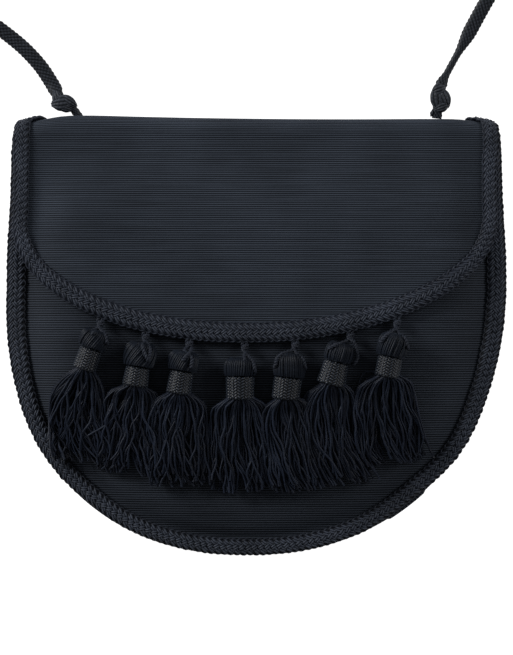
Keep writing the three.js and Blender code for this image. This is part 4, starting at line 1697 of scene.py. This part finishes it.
            # Aside: the fringe opens fast, then slowly, and each thread is drawn to the middle of its lock.
            fan = 1 - np.exp(-opened / plan.open)
            neck, (neck_aside, neck_up) = self.neck, self.neck_inset
            half = lerp(plan.collar_radius - neck_aside, plan.splay, fan)
            half += (plan.spread / 2 - self.hem_inset - plan.splay) * opened
            gather = self.gather * ease(opened - self.gather_from)
            drawn_to = (number + 0.5) / self.locks * 2 - 1
            pulled = aside * (1 - gather) + drawn_to * gather + 0.05 * lock.pull * gather
            away = pulled * half + np.interp(share, common, lock.aside)
            away += self.sway(share, THREAD_SWINGS, plan.loose)
            over = np.maximum(np.abs(away) - half, 0.0)
            past = self.soft_edge * (1 - np.exp(-over / self.soft_edge))
            away = np.sign(away) * (np.minimum(np.abs(away), half) + past)

            # Down: it leaves the collar on the tassel's axis and bends towards the fringe's end.
            t = opened[:, None]
            bend = self.fringe_start + self.axis * reach / 2
            middle = (1 - t) ** 2 * self.fringe_start + 2 * t * (1 - t) * bend + t**2 * end
            middle += np.minimum(share, 0.0)[:, None] * reach * self.axis
            flat = self.kept_on(middle + sideways * away[:, None])

            # Up: it hangs from the collar and then rests on the bag, at its own level among the threads.
            bed = FORM.ground(flat[:, 0], flat[:, 1]) + self.fringe_clear + self.thread
            thick = lerp(neck, self.fringe_thick, ease(opened / 0.6)) - 2 * self.thread
            level = np.clip(above + self.sway(share, LEVEL_SWINGS), -1.0, 1.4)
            hanging = self.collar_height + above * (self.collar_thick / 2 - neck_up)
            resting = bed + thick / 2 * (1 + level) + np.interp(share, common, lock.rise).clip(0, 1)
            height = lerp(hanging, resting, ease(opened / self.settled + 0.1))
            lines.append(np.column_stack([flat, height]))
        return lines

    def in_bundle(self, number: int) -> Pair:
        """A thread's place in the bundle, which is filled evenly but spreads flatter than it is round.

        Args:
            number: The thread's number.

        Returns:
            Its place aside and up, both from -1 to 1.
        """
        golden = math.pi * (3 - math.sqrt(5))
        radius = math.sqrt((number + 0.5) / self.fringe_threads)
        angle = number * golden + self.chance.uniform(-0.25, 0.25)
        aside, above = radius * math.cos(angle), radius * math.sin(angle)
        even = 2 / math.pi * (math.asin(aside) + aside * math.sqrt(1 - aside**2))
        return 0.35 * aside + 0.65 * even, above

    def kept_on(self, flat: Array) -> Array:
        """Draws points that would hang over the bag's edge in onto its braid.

        Args:
            flat: The points, seen from above.

        Returns:
            The points, none of them beyond the edge.
        """
        edge = FORM.pouch.edge(100.0, 1.0)
        left = edge[: int(np.argmin(edge[:, 1]))][::-1]
        limit = np.maximum(np.interp(flat[:, 1], left[:, 1], left[:, 0]), self.kept_left)
        inside = flat[:, 0] - limit
        near, least = self.kept_near, self.kept_least
        drawn = least + (near - least) * np.exp(np.minimum(inside - near, 0.0) / (near - least))
        moved = flat.copy()
        moved[:, 0] += np.where(inside < near, drawn - inside, 0.0)
        return moved

    def build_fringe(self) -> None:
        """Builds the fringe of single threads."""
        lines = self.fringe_lines() + self.strays()
        thick, lift = [], []
        for line in lines:
            thick.append(np.full(len(line), self.thread * self.chance.uniform(0.86, 1.14) * MM))
            lift.append(np.full(len(line), self.chance.uniform(-0.4, 1.0)))
        seed = lines_mesh("fringe_lines", lines, thick=np.concatenate(thick), lift=np.concatenate(lift))
        mesh = grow(self.node("fringe"), seed, self.threads, {"Sides": 4, "Finish": self.finishes.silk})
        self.finish("fringe", "skirt", mesh, self.finishes.silk)

    def strays(self) -> list[Array]:
        """The few threads that have swung out over a neighbour or the braid.

        Returns:
            Each thread's points.
        """
        ways = [(height, way) for number, height, way in STRAYS if number == self.plan.number]
        found = []
        for height, way in ways:
            flat = smooth_curve(np.array(way, float), 8)
            found.append(np.column_stack([flat, FORM.ground(flat[:, 0], flat[:, 1]) + height]))
        return found

    def build(self) -> None:
        """Builds the tassel's four pieces."""
        self.build_loop()
        self.build_head()
        self.build_collar()
        self.build_fringe()


# ---- strap
# The strap's middle line in metres: from the left corner, over the floor, and back to the right corner.
CORD_LOW = 0.0016  # its height on the floor
CORD_ON_FLOOR = (
    (-0.0974, 0.1209), (-0.105, 0.1292), (-0.1154, 0.1377), (-0.1284, 0.147), (-0.1386, 0.161),
    (-0.135, 0.1786), (-0.1176, 0.1872), (-0.086, 0.1826), (-0.046, 0.172), (-0.004, 0.1666),
    (0.038, 0.1692), (0.08, 0.1766), (0.105, 0.1876), (0.11, 0.2076), (0.0916, 0.2228), (0.051, 0.2218),
    (0.006, 0.211), (-0.04, 0.2064), (-0.084, 0.2106), (-0.1128, 0.2212), (-0.1214, 0.2414),
    (-0.1046, 0.2594), (-0.067, 0.2636), (-0.022, 0.256), (0.024, 0.2506), (0.07, 0.256), (0.109, 0.2636),
    (0.1354, 0.251), (0.1414, 0.224), (0.132, 0.197), (0.117, 0.172), (0.1038, 0.1504), (0.0942, 0.1328),
)
CORD_ROUTE = np.array([
    (-0.0798, 0.0979, 0.0039), (-0.0824, 0.1014, 0.0043), (-0.086, 0.1048, 0.0044),
    (-0.0897, 0.1088, 0.0034), (-0.0927, 0.1138, 0.002),
    *((x, y, CORD_LOW) for x, y in CORD_ON_FLOOR),
    (0.0869, 0.1196, 0.0022), (0.0833, 0.1124, 0.0036), (0.0822, 0.1058, 0.0044), (0.0817, 0.1016, 0.0043),
    (0.0813, 0.0975, 0.0039),
])


@dataclass(frozen=True)
class Wrap:
    """One turn of the cord round a knot: its place in the knot, its direction and its size in millimetres."""

    place: Pair
    turn: float  # of its run, in degrees from +X
    length: float
    width: float
    depth: float


@dataclass(frozen=True)
class Knot:
    """A pulled-tight overhand knot: a few turns of the cord over each other."""

    name: str
    node: str
    wraps: tuple[Wrap, ...]


KNOTS = (
    Knot("knot_left_cord", "knot_left", (
        Wrap((-1.0, -1.0), 8.0, 10.4, 7.0, 7.6),
        Wrap((-3.0, 1.0), -74.0, 8.4, 4.6, 6.8),
        Wrap((2.1, -0.1), -34.0, 9.6, 4.6, 7.3),
        Wrap((0.3, -2.8), -20.0, 8.6, 4.4, 6.8),
    )),
    Knot("knot_right_cord", "knot_right", (
        Wrap((-1.0, -0.2), 93.0, 12.4, 7.6, 7.0),
        Wrap((1.4, -0.4), -70.0, 10.4, 5.6, 7.6),
        Wrap((-1.1, 3.4), 24.0, 7.2, 5.4, 7.8),
        Wrap((0.4, -4.4), 22.0, 7.6, 4.8, 7.2),
        Wrap((-4.2, -7.2), 74.0, 4.2, 1.6, 3.2),
    )),
)


@dataclass
class Strap:
    """The strap: a flat tube of braided cord, knotted near both ends."""

    finish: Material
    width: float = 6.8
    thick: float = 3.0
    length: float = 1.072  # in metres
    cell: float = 2.1  # length of a stitch of the cord's braid
    strands: int = 8  # each way round
    around: int = 28
    depth: float = 0.38  # of its braid's relief
    step: float = 0.56
    from_fold: float = 9.9  # of a knot's middle, along the cord
    in_knot: float = 7.0  # how far to either side of that it is drawn in
    draw_over: float = 4.0  # over how much
    knot_narrow: float = 0.42  # how much narrower it is there
    knot_thick: float = 0.12  # how much thicker
    right_share: float = 0.65  # of that at the right knot
    pinch: Pair = (3.0, 34.0)  # before the right knot it is turned on its edge, from and to
    pinch_over: Pair = (9.0, 14.0)  # over how much, at either end
    pinch_narrow: float = 0.5
    pinch_thick: float = 0.2
    wrap_thick: float = 2.7
    wrap_step: float = 0.45
    wrap_around: int = 40
    wrap_ridges: int = 9
    wrap_stitch: float = 1.5
    wrap_relief: float = 1.9  # times the cord's depth
    wrap_taper: float = 0.55  # how much narrower a turn is where it dives under
    wrap_power: float = 2.2  # of the superellipse that it follows

    def stitches(self, along: Array, lane: Array) -> Array:
        """How high the face of a round braid lies, from 0 between its strands to 1 on top of them.

        Args:
            along: The distance along the cord, in stitches.
            lane: The place round the cord, in strands.

        Returns:
            The height at each point.
        """
        one, other = along + lane, along - lane
        over = (np.floor(one) + np.floor(other)) % 2 < 1
        ridge = np.where(over, one, other) % 1 - 0.5
        dive = np.where(over, other, one) % 1 - 0.5
        return np.cos(math.pi * ridge) ** 0.8 * (0.35 + 0.65 * np.cos(math.pi * dive))

    def ring_angles(self, width: float, thick: float, count: int) -> Array:
        """Angles of points that stand evenly round an oval.

        Args:
            width: The oval's width.
            thick: Its thickness.
            count: How many points there are.

        Returns:
            The angle of each.
        """
        angles = np.linspace(0, math.tau, 361)
        share = distance_along(np.stack([width / 2 * np.cos(angles), thick / 2 * np.sin(angles)], -1))
        return np.interp(np.arange(count) / count * share[-1], share, angles)

    def tube(self, line: Array, width: Array, thick: Array, lift: Array) -> Array:
        """Points of a flat oval tube that lies level, pressed in where its braid lies low.

        Args:
            line: The tube's middle points.
            width: Its width at each.
            thick: Its thickness at each.
            lift: How high its face lies at each point of each ring.

        Returns:
            The rings of points.
        """
        tangent = unit(np.gradient(line, axis=0))
        side = unit(np.cross(tangent, (0.0, 0.0, 1.0)))
        rise = np.cross(side, tangent)
        turns = self.ring_angles(self.width, self.thick, self.around)
        cosine, sine = np.cos(turns), np.sin(turns)
        out = unit(np.stack([cosine * self.thick, sine * self.width], -1))
        reach = (lift - 1) * self.depth
        sideways = width[:, None] / 2 * cosine + out[:, 0] * reach
        upwards = thick[:, None] / 2 * sine + out[:, 1] * reach
        return line[:, None] + side[:, None] * sideways[..., None] + rise[:, None] * upwards[..., None]

    def build_cord(self) -> Object:
        """Builds the strap from fold to fold.

        Returns:
            The strap's object.
        """
        line = evenly(smooth_curve(CORD_ROUTE / MM, 40), self.step)[0]
        along = distance_along(line)
        left, right = self.from_fold, along[-1] - self.from_fold
        knots = ease((left + self.in_knot - along) / self.draw_over)
        knots = knots + self.right_share * ease((along - right + self.in_knot) / self.draw_over)
        (near, far), (near_over, far_over) = self.pinch, self.pinch_over
        pinch = ease((right - along - near) / near_over) * ease((along - right + far) / far_over)
        narrowed = (1 - self.knot_narrow * np.clip(knots, 0, 1)) * (1 - self.pinch_narrow * pinch)
        thick = self.thick * (1 + self.knot_thick * knots + self.pinch_thick * pinch)
        lane = np.arange(self.around) / self.around * self.strands
        lift = self.stitches(along[:, None] / self.cell, lane)
        # The finish reads 'lift': painted shade between the stitches, painted light on their tops.
        mesh = ring_mesh("strap", self.tube(line, self.width * narrowed, thick, lift), 2 * lift - 1)
        mesh.flip_normals()  # the rings run clockwise round the line
        nodes = ["strap_cord", "strap_end_left", "strap_end_right"]
        return show("strap", mesh, self.finish, Slot.CORD, nodes)

    def wrap_mesh(self, wrap: Wrap) -> Mesh:
        """One turn of the cord round a knot, a closed flat band with its braid drawn into lengthwise ridges.

        Args:
            wrap: The turn's place and size.

        Returns:
            The band's closed mesh.
        """
        # The band's middle line, a superellipse that stands on its edge.
        t = np.linspace(0, math.tau, 721)
        half = np.array([wrap.length, wrap.depth]) / 2 - self.wrap_thick / 2
        flat = power_of(np.stack([np.cos(t), np.sin(t)], -1), 2 / self.wrap_power) * half
        flat = evenly(flat, self.wrap_step)[0][:-1]
        tangent = unit(np.roll(flat, -1, axis=0) - np.roll(flat, 1, axis=0))
        out = np.stack([tangent[:, 1], -tangent[:, 0]], -1)

        # Its ridges, and the stitches along them, which stand half a stitch apart from ridge to ridge.
        ridges = self.wrap_ridges * np.arange(self.wrap_around) / self.wrap_around
        ridge = np.abs(np.sin(math.pi * ridges)) ** 0.8
        count = len(flat)
        stitch = np.arange(count)[:, None] / count * round(count * self.wrap_step / self.wrap_stitch)
        lift = 0.7 * ridge + 0.3 * np.abs(np.sin(math.pi * (stitch + 0.5 * np.floor(ridges))))

        turns = self.ring_angles(wrap.width, self.wrap_thick, self.wrap_around)
        tapered = 1 - self.wrap_taper * np.abs(flat[:, 0] / half[0]) ** 2.5
        sideways = wrap.width / 2 * np.cos(turns) * tapered[:, None]
        relief = np.sign(np.sin(turns)) * (lift - 1) * self.depth * self.wrap_relief
        upwards = self.wrap_thick / 2 * np.sin(turns) + relief
        run = flat[:, None] + out[:, None] * upwards[..., None]
        angle = math.radians(wrap.turn)
        ahead = np.array([math.cos(angle), math.sin(angle)])
        aside = np.array([-math.sin(angle), math.cos(angle)])
        level = np.array(wrap.place) + run[..., :1] * ahead + sideways[..., None] * aside
        # The finish reads 'lift': painted shade in the ridges' hollows, painted light on their tops.
        return ring_mesh("wrap", np.concatenate([level, run[..., 1:]], -1), 2 * lift - 1, looped=True)

    def build_knot(self, knot: Knot) -> Object:
        """Builds one knot's turns in its place.

        Args:
            knot: The knot.

        Returns:
            The knot's object.
        """
        low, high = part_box(knot.node)
        mesh = joined(*(self.wrap_mesh(wrap) for wrap in knot.wraps))
        mesh.name = knot.name
        mesh.flip_normals()  # as on the cord
        mesh.transform(Matrix.Translation(Vector(np.array((low + high) / 2))))
        return show(knot.name, mesh, self.finish, Slot.CORD, [knot.node])

    def build(self) -> None:
        cord = self.build_cord()
        knots = [self.build_knot(knot) for knot in KNOTS]
        path = evenly(smooth_curve(CORD_ROUTE / MM, 40), 3.0)[0] * MM


# ---- studio
@dataclass
class Studio:
    """A glowing pale floor, soft light from the upper left, and a camera that looks straight down."""

    distance: float = 1.8  # of the camera above the bag's edge, in metres
    edge_height: float = 9.0  # mm: the height at which the bag's outline lies
    view_height: float = 294.8  # mm: how much of the plane at that height the camera takes in
    centre: Pair = (0.0, 3.15)  # mm: what it looks at
    floor_half: float = 4000.0  # mm
    floor_height: float = -0.2  # mm
    surround: float = 0.3  # strength of the light from all round

    def camera(self) -> None:
        """Sets the camera above the bag."""
        data = bpy.data.cameras.new("camera")
        data.lens = data.sensor_width * self.distance / (self.view_height * MM)
        data.clip_start, data.clip_end = 0.05, 20.0
        camera = in_scene("camera", data)
        x, y = self.centre
        camera.location = (x * MM, y * MM, self.distance + self.edge_height * MM)
        bpy.context.scene.camera = camera

    def floor(self) -> None:
        """Lays a floor of opal acrylic lit from below, which leaves no shadow round the bag."""
        corners = np.array([(-1, -1), (1, -1), (1, 1), (-1, 1)]) * self.floor_half
        mesh = build_mesh("floor", np.column_stack([corners, np.full(4, self.floor_height)]), [(0, 1, 2, 3)])
        opal = bpy.data.materials.new("acrylic_opal_backlit")
        tree = bare_tree(opal)
        shader = add(tree, "ShaderNodeBsdfPrincipled", {
            "Base Color": linear("#8c8c8c"), "Roughness": 0.9, "Specular IOR Level": 0.0,
            "Emission Color": linear("#ffffff"), "Emission Strength": 1.0,
        })
        add(tree, "ShaderNodeOutputMaterial", [shader])
        mesh.materials.append(opal)
        floor = in_scene("floor", mesh)

    def lamp(self, name: str, place: tuple[float, float, float], size: float, power: float) -> None:
        """Hangs a square soft light that looks at the bag.

        Args:
            name: The light's name.
            place: Where it hangs, in metres.
            size: The length of its side.
            power: Its power in watts.
        """
        data = bpy.data.lights.new(name, "AREA")
        data.shape, data.size, data.energy = "SQUARE", size, power
        lamp = in_scene(name, data)
        lamp.location = place
        lamp.rotation_euler = (-Vector(place)).to_track_quat("-Z", "Y").to_euler()

    def light(self) -> None:
        """Lights the bag from the upper left and more weakly from the right, in a dim pale surround."""
        world = bpy.data.worlds.new("surround")
        tree = bare_tree(world)
        sky = add(tree, "ShaderNodeBackground", {"Color": linear("#fbfcff"), "Strength": self.surround})
        add(tree, "ShaderNodeOutputWorld", [sky])
        bpy.context.scene.world = world
        self.lamp("key", (-2.4, 1.3, 1.12), 1.0, 134.0)
        self.lamp("fill", (2.0, 0.9, 1.15), 1.2, 40.0)
        bpy.context.scene.view_settings.view_transform = "Standard"

    def build(self) -> None:
        """Builds the studio."""
        self.camera()
        self.floor()
        self.light()
        log.info("studio: camera %.2f m above the bag", self.distance)


def main() -> None:
    """Builds the bag from its camera and cords to its tassels."""
    logging.basicConfig(level=logging.INFO, format="%(name)s %(message)s")
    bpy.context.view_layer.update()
    Studio().build()
    finishes = Finishes()
    Strap(finishes.cord).build()
    RibbedCloths(finishes.pouch, finishes.flap).build()
    plait = plait_tree()
    BodyBraid("body_plait", "body_braid", FORM.pouch, 9.6, 8.2, finishes.braid, plait).lay()
    FlapBraid("flap_plait", "flap_braid", FORM.flap, 7.2, 9.6, finishes.edging, plait).lay()
    wound, threads, plied = wound_tree(), thread_tree(), plied_tree()
    for plan in TASSEL_PLANS:
        Tassel(plan, finishes, wound, threads, plied).build()


if __name__ == "__main__":
    main()
